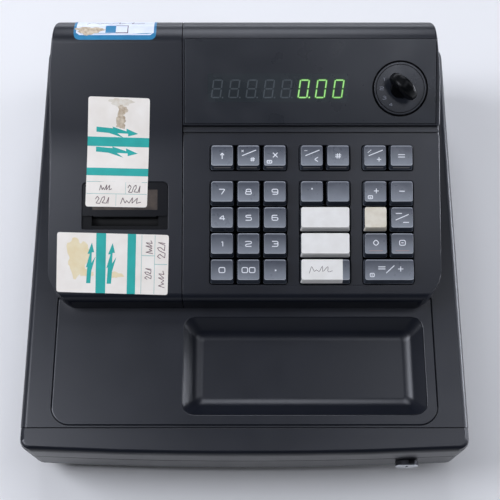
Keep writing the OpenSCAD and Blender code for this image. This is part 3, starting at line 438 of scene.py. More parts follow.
def soften(piece: Piece, width: float, test: Callable[..., bool], segments: int = 3) -> None:
    """Rounds the edges that pass a test.

    Args:
        piece: The piece.
        width: The width of the rounding, in the mesh's own unit.
        test: As for edges in choose().
        segments: How many facets the rounding has.
    """
    if choose(piece, Part.EDGES, test):
        bpy.ops.mesh.bevel(offset=width, segments=segments, profile=0.5, clamp_overlap=False)
    bpy.ops.object.mode_set(mode="OBJECT")


def smooth(piece: Piece, degrees: float = 32) -> None:
    """Shades a piece smooth, except across edges sharper than an angle.

    Args:
        piece: The piece.
        degrees: The angle.
    """
    focus(piece)
    bpy.ops.object.shade_smooth_by_angle(angle=math.radians(degrees))
    weights = piece.modifiers.new("weights", "WEIGHTED_NORMAL")
    weights.keep_sharp = True
    bpy.ops.object.modifier_apply(modifier=weights.name)


def clothe(piece: Piece, *finishes: Finish) -> None:
    """Gives a piece its materials, in the order of its faces' material numbers.

    Args:
        piece: The piece.
        finishes: One finish for each material number.
    """
    piece.data.materials.clear()
    for finish in finishes:
        piece.data.materials.append(finish.material())


def joined(name: str, pieces: Sequence[Piece]) -> Piece:
    """Joins several meshes into one piece.

    Args:
        name: The name of the piece.
        pieces: The meshes.

    Returns:
        The piece.
    """
    focus(pieces[0])
    for piece in pieces:
        piece.select_set(True)
    if len(pieces) > 1:
        bpy.ops.object.join()
    pieces[0].name = name
    pieces[0].data.name = name
    return pieces[0]


def settle(piece: Piece, place: Matrix) -> Piece:
    """Puts a mesh drawn in millimetres at its place, in metres, with its object at the origin.

    Args:
        piece: The piece, at the origin.
        place: The frame that it was drawn in, in metres.

    Returns:
        The same piece.
    """
    piece.matrix_world = Matrix.Identity(4)
    piece.data.transform(place @ Matrix.Scale(MM, 4))
    return piece


def box_mesh(low: Sequence[float], high: Sequence[float]) -> Piece:
    """Adds a box between two corners, in millimetres.

    Args:
        low: The lowest corner.
        high: The highest corner.

    Returns:
        The box, with its place in its mesh.
    """
    bpy.ops.object.select_all(action="DESELECT")
    middle = (Vector(low) + Vector(high)) / 2
    bpy.ops.mesh.primitive_cube_add(size=1, location=middle)
    piece = bpy.context.object
    piece.scale = Vector(high) - Vector(low)
    bpy.ops.object.transform_apply(location=True, rotation=True, scale=True)
    return piece


def disc_mesh(radius: float, low: float, high: float, at: Point = (0, 0), sides: int = 64) -> Piece:
    """Adds a round plate along Z, in millimetres.

    Args:
        radius: Its radius.
        low: Its lower face.
        high: Its upper face.
        at: Its middle.
        sides: How many sides stand for the circle.

    Returns:
        The plate, with its place in its mesh.
    """
    bpy.ops.object.select_all(action="DESELECT")
    bpy.ops.mesh.primitive_cylinder_add(
        vertices=sides, radius=radius, depth=high - low, location=(*at, (low + high) / 2))
    bpy.ops.object.transform_apply(location=True, rotation=True, scale=True)
    return bpy.context.object


def outline_mesh(points: Sequence[Point], low: float, high: float) -> Piece:
    """Adds a flat plate with an outline, in millimetres.

    Args:
        points: The outline.
        low: The lower face.
        high: The upper face.

    Returns:
        The plate, with its place in its mesh.
    """
    curve = bpy.data.curves.new("outline", "CURVE")
    curve.dimensions = "2D"
    curve.fill_mode = "BOTH"
    curve.extrude = (high - low) / 2
    spline = curve.splines.new("POLY")
    spline.points.add(len(points) - 1)
    for point, (x, y) in zip(spline.points, points):
        point.co = (x, y, 0, 1)
    spline.use_cyclic_u = True
    piece = bpy.data.objects.new("outline", curve)
    bpy.context.scene.collection.objects.link(piece)
    focus(piece)
    bpy.ops.object.convert(target="MESH")
    piece = bpy.context.object
    piece.data.transform(Matrix.Translation((0, 0, (low + high) / 2)))
    return piece


def rounded(path: Sequence[Point], radius: float, closed: bool = False) -> list[Point]:
    """Rounds the corners of a drawn line.

    Args:
        path: The line's points.
        radius: How far from a corner the rounding starts.
        closed: Whether the line is a loop.

    Returns:
        The line with three points in place of each corner.
    """
    points = [Vector(p) for p in path]
    count = len(points)
    result = []
    for i, point in enumerate(points):
        if not closed and i in (0, count - 1):
            result.append(tuple(point))
            continue
        before, after = points[i - 1] - point, points[(i + 1) % count] - point
        start = point + before * min(radius / before.length, 0.5)
        end = point + after * min(radius / after.length, 0.5)
        result += [tuple(start), tuple((start + end) / 4 + point / 2), tuple(end)]
    return result


def strokes(glyph: Glyph, size: Point, at: Point, pen: float, low: float, high: float) -> Piece:
    """Draws a number or sign with a round pen, as a thin raised mesh.

    Args:
        glyph: The lines in a box of side 1.
        size: Width and height in millimetres.
        at: The middle.
        pen: The width of the line.
        low: The lower face.
        high: The upper face.

    Returns:
        The mesh, with its place in its mesh.
    """
    curve = bpy.data.curves.new("stroke", "CURVE")
    curve.dimensions = "3D"
    curve.bevel_depth = 1.0
    curve.bevel_resolution = 1
    curve.use_fill_caps = True
    turn = PEN_TURN * min(size)
    for path in glyph:
        closed = path[0] == path[-1] and len(path) > 2
        scaled = [((x - 0.5) * size[0], (y - 0.5) * size[1])
                  for x, y in (path[:-1] if closed else path)]
        points = rounded(scaled, turn, closed) if len(scaled) > 2 else scaled
        spline = curve.splines.new("POLY")
        spline.points.add(len(points) - 1)
        for point, (x, y) in zip(spline.points, points):
            point.co = (x * 2 / pen, y * 2 / pen, 0, 1)
        spline.use_cyclic_u = closed
    piece = bpy.data.objects.new("stroke", curve)
    bpy.context.scene.collection.objects.link(piece)
    focus(piece)
    bpy.ops.object.convert(target="MESH")
    piece = bpy.context.object
    piece.data.transform(Matrix.Translation((*at, (low + high) / 2))
                         @ Matrix.Diagonal((pen / 2, pen / 2, (high - low) / 2, 1)))
    return piece


GLYPHS: dict[str, Glyph] = {
    "0": [[(0, 0), (1, 0), (1, 1), (0, 1), (0, 0)]],
    "1": [[(0.3, 0.8), (0.55, 1), (0.55, 0)]],
    "2": [[(0, 0.85), (0, 1), (1, 1), (1, 0.55), (0, 0.4), (0, 0), (1, 0)]],
    "3": [[(0, 1), (1, 1), (1, 0), (0, 0)], [(0.3, 0.52), (1, 0.52)]],
    "4": [[(0.75, 0), (0.75, 1), (0, 0.3), (1, 0.3)]],
    "5": [[(0.95, 1), (0.05, 1), (0.05, 0.58), (1, 0.58), (1, 0), (0, 0)]],
    "6": [[(0.9, 1), (0, 1), (0, 0), (1, 0), (1, 0.56), (0.05, 0.56)]],
    "7": [[(0, 1), (1, 1), (0.4, 0)]],
    "8": [[(0, 0), (1, 0), (1, 0.53), (0, 0.53), (0, 0)],
          [(0.1, 0.53), (0.1, 1), (0.9, 1), (0.9, 0.53)]],
    "9": [[(0.1, 0), (1, 0), (1, 1), (0, 1), (0, 0.42), (0.95, 0.42)]],
    "+": [[(0, 0.5), (1, 0.5)], [(0.5, 0), (0.5, 1)]],
    "-": [[(0, 0.5), (1, 0.5)]],
    "x": [[(0, 0), (1, 1)], [(0, 1), (1, 0)]],
    "/": [[(0, 0), (1, 1)]],
    "%": [[(0, 0), (1, 1)], [(0.1, 0.9), (0.15, 0.9)], [(0.85, 0.1), (0.9, 0.1)]],
    "#": [[(0.3, 0), (0.4, 1)], [(0.65, 0), (0.75, 1)],
          [(0, 0.32), (0.95, 0.32)], [(0.05, 0.68), (1, 0.68)]],
    "<": [[(1, 0), (0, 0.5), (1, 1)]],
    "=": [[(0, 0.3), (1, 0.3)], [(0, 0.7), (1, 0.7)]],
    "up": [[(0.5, 0), (0.5, 1)], [(0.1, 0.6), (0.5, 1), (0.9, 0.6)]],
    "box": [[(0, 0), (1, 0), (1, 1), (0, 1), (0, 0)], [(0.3, 0.5), (0.7, 0.5)]],
    "diamond": [[(0.5, 0), (1, 0.5), (0.5, 1), (0, 0.5), (0.5, 0)]],
    "dot": [[(0.2, 0.5), (0.8, 0.5)]],
    "scribble": [[(0, 0.6), (0.12, 1), (0.25, 0.7), (0.05, 0.05), (0.3, 0), (0.45, 0.8), (0.6, 1),
                  (0.62, 0.6), (0.45, 0.1), (0.75, 0.05), (0.9, 0.9), (0.85, 0)]],
    "scrawl": [[(0, 0), (0.1, 0.9), (0.22, 0.1), (0.3, 0.5), (0.42, 0.1), (0.5, 0.55),
                (0.58, 0.95), (0.56, 0.1), (0.68, 0.45), (0.82, 0.9), (0.78, 0.1), (1, 0.3)]],
}


@dataclass(frozen=True)
class Plane:
    """A tilted plane of the console, whose origin lies on X = 0.

    y and z place the origin in millimetres, and tilt is in degrees about X.
    """

    y: float
    z: float
    tilt: float

    @property
    def matrix(self) -> Matrix:
        """The plane's frame in metres: X to the right, Y up the slope and Z out of it."""
        turn = Matrix.Rotation(math.radians(self.tilt), 4, "X")
        return Matrix.Translation((0, self.y * MM, self.z * MM)) @ turn

    def local(self, point: Vector) -> Vector:
        """Returns a point of the mesh, in metres, as millimetres in this frame."""
        return (self.matrix.inverted() @ point) / MM

    def extent(self, node: str) -> tuple[Vector, Vector]:
        """Finds the box of a CAD node in this frame.

        Args:
            node: The node's name.

        Returns:
            Its lowest and highest corners in millimetres.
        """
        points = [self.local(v.co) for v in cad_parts[node].data.vertices]
        low = Vector([min(p[i] for p in points) for i in range(3)])
        high = Vector([max(p[i] for p in points) for i in range(3)])
        return low, high


# The keyboard panel, the display bed and the slope behind the crest
KEYBOARD = Plane(-57, 103, 16)
DISPLAY = Plane(63.773, 140.024, 24)
CREST = Plane(137.64, 172.912, -25.5)


def shell(node: str) -> Piece:
    """Copies a CAD node and turns its loose triangles into a clean shell.

    Args:
        node: The node's name.

    Returns:
        The copy, to be enlisted in place of the node.
    """
    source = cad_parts[node]
    piece = source.copy()
    piece.data = source.data.copy()
    piece.name = f"{node}_shell"
    for key in list(piece.keys()):
        del piece[key]
    piece.parent = None
    bpy.context.scene.collection.objects.link(piece)
    focus(piece)
    bpy.ops.object.mode_set(mode="EDIT")
    bpy.ops.mesh.select_all(action="SELECT")
    bpy.ops.mesh.remove_doubles(threshold=WELD)
    bpy.ops.mesh.dissolve_limited(angle_limit=FLAT)
    bpy.ops.object.mode_set(mode="OBJECT")
    return piece


def enlist(piece: Piece, body: str, slot: str, *nodes: str) -> None:
    """Makes a finished piece part of the register and reports it.

    Args:
        piece: The piece, in place.
        body: The CAD body that it rides on.
        slot: The record's material slot; not used.
        nodes: The CAD nodes that it stands for.
    """
    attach(piece, body)
    if nodes:
        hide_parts(*nodes)
    LOG.info("%s on %s: %d faces", piece.name, body, len(piece.data.polygons))


def complete(piece: Piece, finish: Finish, body: str, slot: str, node: str,
             degrees: float = 32) -> None:
    """Paints, shades and enlists the shell of one CAD node.

    Args:
        piece: The shell.
        finish: Its only finish.
        body: The CAD body that it rides on.
        slot: The record's material slot.
        node: The CAD node.
        degrees: The angle up to which it is shaded smooth.
    """
    clothe(piece, finish)
    smooth(piece, degrees)
    enlist(piece, body, slot, node)


def cut(place: Sequence[float], normal: Sequence[float]) -> None:
    """Cuts the whole mesh in edit mode along a plane, and keeps both sides."""
    bpy.ops.mesh.select_all(action="SELECT")
    bpy.ops.mesh.bisect(plane_co=place, plane_no=normal)


def within(place: Vector, area: Area) -> bool:
    """Tells whether a point lies inside the left, lower, right and upper sides of an area."""
    left, low, right, high = area
    return left < place.x < right and low < place.y < high


def share(value: float, start: float, length: float) -> float:
    """Returns how much of a length past its start a value has come, from 0 to 1."""
    return min(1.0, max(0.0, (value - start) / length))


def eased(part: float) -> float:
    """Returns a share that starts and ends gently."""
    return part * part * (3 - 2 * part)


@dataclass
class DrawnSides:
    """The outer sides of the console, which the mould draws in towards the crest.

    Every length is in millimetres. A side is what lies further out than skin. Each of the cuts
    gives an axis, the first place on it, how many cuts there are and how far apart. A side leans
    in along Y, most of all at the crest, and more with its height: back, crest and height say
    where that starts and over how long it grows.
    """

    skin: float = 142.3
    cuts: tuple[tuple[int, int, int, int], ...] = ((1, 96, 17, 4), (2, 104, 5, 12))
    back: Point = (94, 42)
    back_in: float = 3.3
    crest: Point = (130, 16)
    crest_in: float = 4.5
    height: Point = (100, 45)

    def draw(self, piece: Piece) -> None:
        """Cuts the sides into rows and columns, and leans them in.

        Args:
            piece: The shell of the console case or of the printer cover.
        """
        for axis, first, count, step in self.cuts:
            for i in range(count):
                place, normal = Vector((0, 0, 0)), Vector((0, 0, 0))
                place[axis] = (first + i * step) * MM
                normal[axis] = 1
                choose(piece, Part.FACES, lambda c, n: abs(c.x) > self.skin * MM)
                bpy.ops.mesh.bisect(plane_co=place, plane_no=normal)
                bpy.ops.object.mode_set(mode="OBJECT")
        for vertex in piece.data.vertices:
            x, y, z = vertex.co / MM
            if abs(x) > self.skin:
                vertex.co.x -= math.copysign(self.inward(y, z) * MM, x)

    def inward(self, y: float, z: float) -> float:
        """Works out how far a point of the side leans in.

        Args:
            y: Its place along Y.
            z: Its height.

        Returns:
            How far it moves towards the middle.
        """
        crest = share(y, *self.crest)
        lean = self.back_in * eased(share(y, *self.back)) + self.crest_in * crest * crest
        return lean * eased(share(z, *self.height))


SIDES = DrawnSides()


@dataclass
class CaseShells:
    """Lower case, upper case and the inlaid panel with the coin tray."""

    edge: float = 0.4
    edge_angle: float = 50
    edge_length: float = 6
    edge_reach: float = 0.05
    panel_edge: float = 1.4
    mouth_edge: float = 1.2
    rim: float = 6.0
    floor_round: float = 5.0
    tray_angle: float = 25
    level: float = 0.99
    wide_face: float = 1e-5

    def build(self) -> None:
        """Builds the three shells."""
        low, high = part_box("upper_case")
        for node in ("lower_case", "upper_case"):
            piece = shell(node)
            soften(piece, self.edge * MM,
                   lambda m, a, angle, n: abs(angle) > math.radians(self.edge_angle)
                   and n > self.edge_length * MM
                   and min(m.x - low.x, high.x - m.x, high.y - m.y) < self.edge_reach * MM, 2)
            complete(piece, CASE_ABS, "root", "case_plastic", node)
        self.tray()

    def tray(self) -> None:
        """Builds the inlaid panel and rounds the mouth and floor of the tray."""
        piece = shell("tray_panel")
        low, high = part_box("tray_panel")
        floor = self.floor_height()
        corner = math.radians(self.tray_angle)
        margin = self.rim * MM
        mouth = (low.x + margin, low.y + margin, high.x - margin, high.y - margin)
        soften(piece, self.floor_round * MM,
               lambda m, a, angle, n: abs(m.z - floor) < NEAR * MM and angle < -corner, 4)
        soften(piece, self.mouth_edge * MM,
               lambda m, a, angle, n: abs(m.z - high.z) < NEAR * MM and angle > corner
               and within(m, mouth), 4)
        soften(piece, self.panel_edge * MM,
               lambda m, a, angle, n: abs(m.z - high.z) < NEAR * MM and angle > corner
               and not within(m, mouth), 2)
        complete(piece, CASE_ABS, "root", "case_plastic", "tray_panel")

    def floor_height(self) -> float:
        """Returns the height of the tray's floor in metres: its lowest wide face that looks up."""
        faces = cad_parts["tray_panel"].data.polygons
        return min(face.center.z for face in faces
                   if face.normal.z > self.level and face.area > self.wide_face)


@dataclass
class Console:
    """Console case with the keyboard panel and the display bed."""

    side_edge: float = 1.4
    side_from: float = 90
    well_edge: float = 0.5
    well_span: Point = (4, 116)

    def build(self) -> None:
        """Builds the console case."""
        piece = shell("console_case")
        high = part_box("console_case")[1]
        first, last = self.well_span
        soften(piece, self.side_edge * MM,
               lambda m, a, angle, n: abs(m.x - high.x) < NEAR * MM and angle > RIDGE
               and m.z > self.side_from * MM)
        soften(piece, self.well_edge * MM,
               lambda m, a, angle, n: abs(KEYBOARD.local(m).z) < NEAR and angle > RIDGE
               and first < KEYBOARD.local(m).y < last, 2)
        SIDES.draw(piece)
        complete(piece, CASE_ABS, "root", "case_plastic", "console_case")


@dataclass(frozen=True)
class Mark:
    """One number or sign on a cap: its glyph, its size and its place from the top's middle."""

    glyph: str
    size: Point = (4.3, 3.7)
    at: Point = (0, 0)


class Cap(Enum):
    """Material numbers of a cap."""

    SKIRT = 0
    RIM = 1
    TOP = 2
    INK = 3
    FOOT = 4
    CARD = 5
    CREAM = 6
    EDGE = 7
    PINK = 8
    PEN = 9


CAP_FINISHES = (CAP_SKIRT, CAP_RIM_HIGHLIGHT, CAP_TOP_SHEEN, CAP_INK, CAP_FOOT_HIGHLIGHT, CARD_PAPER, CREAM_PAPER, CARD_EDGE,
                PINK_TAPE, PEN_INK)
# Keys with a card edge in front, keys with a strip of tape, and the key with a handwritten card
CARD_EDGED = ("key_feed", "key_date", "key_clear", "key_correct", "key_lookup", "key_percent",
              "key_tax")
TAPED = ("key_subtotal", "key_charge")
WRITTEN = "key_department_1"


@dataclass
class Keyboard:
    """31 key caps with their printed numbers and signs.

    Lengths are in millimetres in the frame of the keyboard, and a tilt is the share of a face's
    normal that points up or, where it is negative, to the front.
    """

    wide_from: float = 1.5
    top_rim: float = 0.4
    dish: float = 0.12
    corner: float = 1.5
    upright: float = 0.7
    edge: float = 0.35
    foot_edge: float = 0.6
    foot_length: float = 0.1
    ink: float = 0.03
    pen: float = 0.66
    fine_pen: float = 0.42
    fine_under: float = 3
    dot_pen: float = 1.15
    mark_shift: float = 0.8
    stem: float = 6.0
    stem_shift: float = 0.35
    stem_lap: float = 0.1
    foot: float = -2.0
    shoulder: float = 1.0
    top_narrower: float = 0.8
    top_shorter: float = 1.55
    top_shift: float = 1.2
    top_tilt: float = 0.35
    top_deep: float = 0.5
    worn_tilt: float = -0.12
    worn_deep: float = 0.5
    foot_tilt: float = 0.05
    foot_deep: float = 0.3
    label_tilt: float = 0.1
    label_deep: float = 0.6
    label_front: float = -0.3
    strip: Point = (12.4, 1.3)
    strip_heights: Point = (-0.1, 0.06)
    pink_strip: Point = (10.0, 0.5)
    pink_down: float = 5.4
    scrawl_at: Point = (-3.4, 0.4)
    scrawl_size: Point = (17.0, 6.4)
    scrawl_pen: float = 0.36
    marks: dict[str, list[Mark]] = field(default_factory=lambda: {
        **{f"key_{n}": [Mark(str(n))] for n in range(10) if n != 1},
        "key_1": [Mark("1", (3.4, 3.7), (0.4, 0))],
        "key_00": [Mark("0", (4.1, 3.7), (-2.7, 0)), Mark("0", (4.1, 3.7), (2.7, 0))],
        "key_point": [Mark("dot", (1.9, 0.6), (0.4, -0.2))],
        "key_feed": [Mark("up", (3.2, 4.6))],
        "key_date": [Mark("x", (1.5, 1.5), (-4.4, 3.6)), Mark("/", (10.4, 4.2), (0.4, 2.2)),
                     Mark("#", (3.4, 3.0), (3.0, -2.6))],
        "key_clear": [Mark("x", (3.4, 3.4), (0.3, 0.6)), Mark("box", (3.4, 2.0), (-4.0, -4.4))],
        "key_correct": [Mark("-", (2.2, 1), (-4.4, 3.9)), Mark("/", (10.4, 4.2), (0.4, 2.2)),
                        Mark("<", (2.6, 3.2), (3.2, -2.6))],
        "key_lookup": [Mark("#", (4.4, 3.8))],
        "key_percent": [Mark("%", (2.6, 2.2), (-4.2, 3.4)), Mark("/", (10.4, 4.2), (0.4, 2.2)),
                        Mark("+", (3.2, 3.2), (2.8, -2.6))],
        "key_tax": [Mark("=", (5.0, 4.4))],
        "key_received": [Mark("+", (3.6, 3.6), (0.6, 0.6)), Mark("box", (3.2, 2.2), (-3.8, -4.0))],
        "key_paid_out": [Mark("-", (4.0, 1), (0, 0.4))],
        "key_cheque": [Mark("-", (4.6, 1), (-2.4, 3.2)), Mark("/", (9.6, 4.2), (0, 0.4)),
                       Mark("-", (4.2, 1), (2.8, -3.4))],
        "key_subtotal": [Mark("diamond", (4.6, 4.6), (0, 0.8))],
        "key_charge": [Mark("box", (4.2, 3.6), (0, 0.8))],
        "key_cash": [Mark("=", (5.2, 3.8), (-5.6, 1.6)), Mark("/", (6.0, 5.6), (0.6, 0.6)),
                     Mark("+", (3.8, 3.8), (8.2, 0.8)), Mark("box", (3.0, 2.4), (-12.6, -3.6))],
        "key_department_4": [Mark("dot", (1.5, 0.6), (0, 2.2))],
    })
    labels: dict[str, tuple[float, Cap]] = field(default_factory=lambda: {
        "key_department_1": (0.84, Cap.CARD), "key_department_2": (1.0, Cap.CARD),
        "key_department_3": (1.0, Cap.CARD), "key_balance": (1.0, Cap.CREAM),
    })

    def build(self) -> None:
        """Builds every key from the box of its CAD node."""
        masters: dict[bool, Piece] = {}
        keys = [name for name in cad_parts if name.startswith("key_") and name != "key_frame"]
        for node in keys:
            low, high = KEYBOARD.extent(node)
            wide = high.x - low.x > self.wide_from * (high.y - low.y)
            if wide not in masters:
                masters[wide] = self.cap(low, high, wide)
            parts = [self.copied(masters[wide], (low + high) / 2)]
            parts += self.extras(node, low, high)
            marks = self.marks.get(node, [])
            parts += [self.mark(mark, (low + high) / 2, high.z) for mark in marks]
            piece = joined(f"{node}_cap", parts)
            self.label(node, piece, low, high)
            settle(piece, KEYBOARD.matrix)
            smooth(piece, degrees=28)
            white = self.labels.get(node, (0, Cap.TOP))[1] is Cap.CARD
            enlist(piece, node, "key_white" if white else "key_grey", node)
        for master in masters.values():
            bpy.data.objects.remove(master)

    def cap(self, low: Vector, high: Vector, wide: bool) -> Piece:
        """Models one cap with its stems, about the middle of its foot.

        Args:
            low: The lowest corner of a CAD key in the frame of the keyboard.
            high: Its highest corner.
            wide: Whether it is a double cap, which has two stems.

        Returns:
            A cap to copy, with its faces numbered as Cap says.
        """
        half = (high - low) / 2
        top = high.z
        piece = box_mesh((-half.x, -half.y, self.foot), (half.x, half.y, self.shoulder))
        choose(piece, Part.FACES, lambda c, n: n.z > ALONG)
        bpy.ops.mesh.extrude_region_move(
            TRANSFORM_OT_translate={"value": (0, self.top_shift, top - self.shoulder)})
        bpy.ops.transform.resize(
            value=(1 - self.top_narrower / half.x, 1 - self.top_shorter / half.y, 1))
        bpy.ops.object.mode_set(mode="OBJECT")
        soften(piece, self.corner,
               lambda m, a, angle, n: abs(a.z) > self.upright and angle > BENT, 4)
        soften(piece, self.foot_edge,
               lambda m, a, angle, n: abs(m.z - self.shoulder) < NEAR and n > self.foot_length, 1)
        soften(piece, self.edge, lambda m, a, angle, n: m.z > top - NEAR and angle > BENT, 3)
        choose(piece, Part.FACES, lambda c, n: n.z > ALONG and c.z > top - NEAR)
        bpy.ops.mesh.inset(thickness=self.top_rim)
        bpy.ops.transform.translate(value=(0, 0, -self.dish))
        bpy.ops.object.mode_set(mode="OBJECT")
        aside = half.x / 2 + self.stem_shift
        reach = self.stem / 2
        feet = [box_mesh((x - reach, -reach, low.z), (x + reach, reach, self.foot + self.stem_lap))
                for x in ((-aside, aside) if wide else (0.0,))]
        piece = joined("cap_master", [piece, *feet])
        clothe(piece, *CAP_FINISHES)
        front = self.top_shift - half.y + self.top_shorter + self.worn_deep
        for face in piece.data.polygons:
            height, tilt = face.center.z, face.normal.z
            if tilt > self.top_tilt and height > top - self.top_deep:
                # Faces of the top that face the front or lie near its front edge take the painted
                # highlight
                highlit = face.normal.y < self.worn_tilt or face.center.y < front
                face.material_index = (Cap.RIM if highlit else Cap.TOP).value
            # The step at the foot of a cap takes the fainter painted highlight
            elif abs(height - self.shoulder) < self.foot_deep and self.foot_tilt < tilt < ALONG:
                face.material_index = Cap.FOOT.value
        uv = piece.data.uv_layers.new(name=CAP_UV)
        for loop in piece.data.loops:
            place = piece.data.vertices[loop.vertex_index].co
            uv.data[loop.index].uv = (place.x / (2 * half.x) + 0.5, place.y / (2 * half.y) + 0.5)
        return piece

    @staticmethod
    def copied(master: Piece, middle: Vector) -> Piece:
        """Copies a cap with its mesh.

        Args:
            master: The cap.
            middle: The middle of the key in the frame of the keyboard.

        Returns:
            The copy, at its place in that frame.
        """
        piece = master.copy()
        piece.data = master.data.copy()
        piece.data.transform(Matrix.Translation((middle.x, middle.y, 0)))
        bpy.context.scene.collection.objects.link(piece)
        return piece

    @staticmethod
    def inked(piece: Piece, number: Cap) -> Piece:
        """Gives a mesh the cap's materials, and all of its faces one of them.

        Args:
            piece: The mesh.
            number: The material.

        Returns:
            The same mesh.
        """
        clothe(piece, *CAP_FINISHES)
        for face in piece.data.polygons:
            face.material_index = number.value
        piece.data.uv_layers.new(name=CAP_UV)
        return piece

    def mark(self, mark: Mark, middle: Vector, top: float) -> Piece:
        """Prints one number or sign on a cap.

        Args:
            mark: The number or sign.
            middle: The middle of the key in the frame of the keyboard.
            top: The height of the cap.

        Returns:
            A thin mesh in the ink's material.
        """
        at = (middle.x + mark.at[0], middle.y + self.mark_shift + mark.at[1])
        pen = self.fine_pen if max(mark.size) < self.fine_under else self.pen
        if mark.glyph == "dot":
            pen = self.dot_pen
        level = top - self.dish
        piece = strokes(GLYPHS[mark.glyph], mark.size, at, pen, level - self.ink, level + self.ink)
        return self.inked(piece, Cap.INK)

    def extras(self, node: str, low: Vector, high: Vector) -> list[Piece]:
        """Adds what only some caps have: a card edge in front, a strip of tape or a scrawl.

        Args:
            node: The key's node.
            low: The lowest corner of the CAD key in the frame of the keyboard.
            high: Its highest corner.

        Returns:
            The meshes to join with the cap.
        """
        middle = (low + high) / 2
        level = high.z - self.dish
        parts = []
        if node in CARD_EDGED:
            width, depth = self.strip[0] / 2, self.strip[1] / 2
            below, above = self.strip_heights
            slope = math.atan2(high.z - self.shoulder, self.top_shift + self.top_shorter)
            strip = self.inked(box_mesh((-width, -depth, below), (width, depth, above)), Cap.EDGE)
            y = low.y + (self.top_shift + self.top_shorter) / 2
            strip.data.transform(Matrix.Translation((middle.x, y, (high.z + self.shoulder) / 2))
                                 @ Matrix.Rotation(slope, 4, "X"))
            parts.append(strip)
        if node in TAPED:
            width, depth = self.pink_strip[0] / 2, self.pink_strip[1] / 2
            y = middle.y + self.top_shift - self.pink_down
            tape = box_mesh((middle.x - width, y - depth, level - self.ink),
                            (middle.x + width, y + depth, level + self.ink))
            parts.append(self.inked(tape, Cap.PINK))
        if node == WRITTEN:
            at = (middle.x + self.scrawl_at[0], middle.y + self.top_shift + self.scrawl_at[1])
            scrawl = strokes(GLYPHS["scrawl"], self.scrawl_size, at, self.scrawl_pen,
                             level - self.ink, level + self.ink)
            parts.append(self.inked(scrawl, Cap.PEN))
        return parts

    def label(self, node: str, piece: Piece, low: Vector, high: Vector) -> None:
        """Sticks the paper labels on the department keys and the cream one on the balance key.

        Args:
            node: The key's node.
            piece: The cap, in the frame of the keyboard.
            low: The lowest corner of the CAD key.
            high: Its highest corner.
        """
        if node not in self.labels:
            return
        covered, number = self.labels[node]
        edge = low.x + covered * (high.x - low.x)
        if covered < 1:
            focus(piece)
            bpy.ops.object.mode_set(mode="EDIT")
            cut((edge, 0, 0), (1, 0, 0))
            bpy.ops.object.mode_set(mode="OBJECT")
        for face in piece.data.polygons:
            front = face.normal.y < self.label_front and face.center.z > self.shoulder
            top = face.center.z > high.z - self.label_deep and face.normal.z > self.label_tilt
            printed = face.material_index == Cap.PEN.value
            if face.center.x < edge and (top or front) and not printed:
                face.material_index = number.value


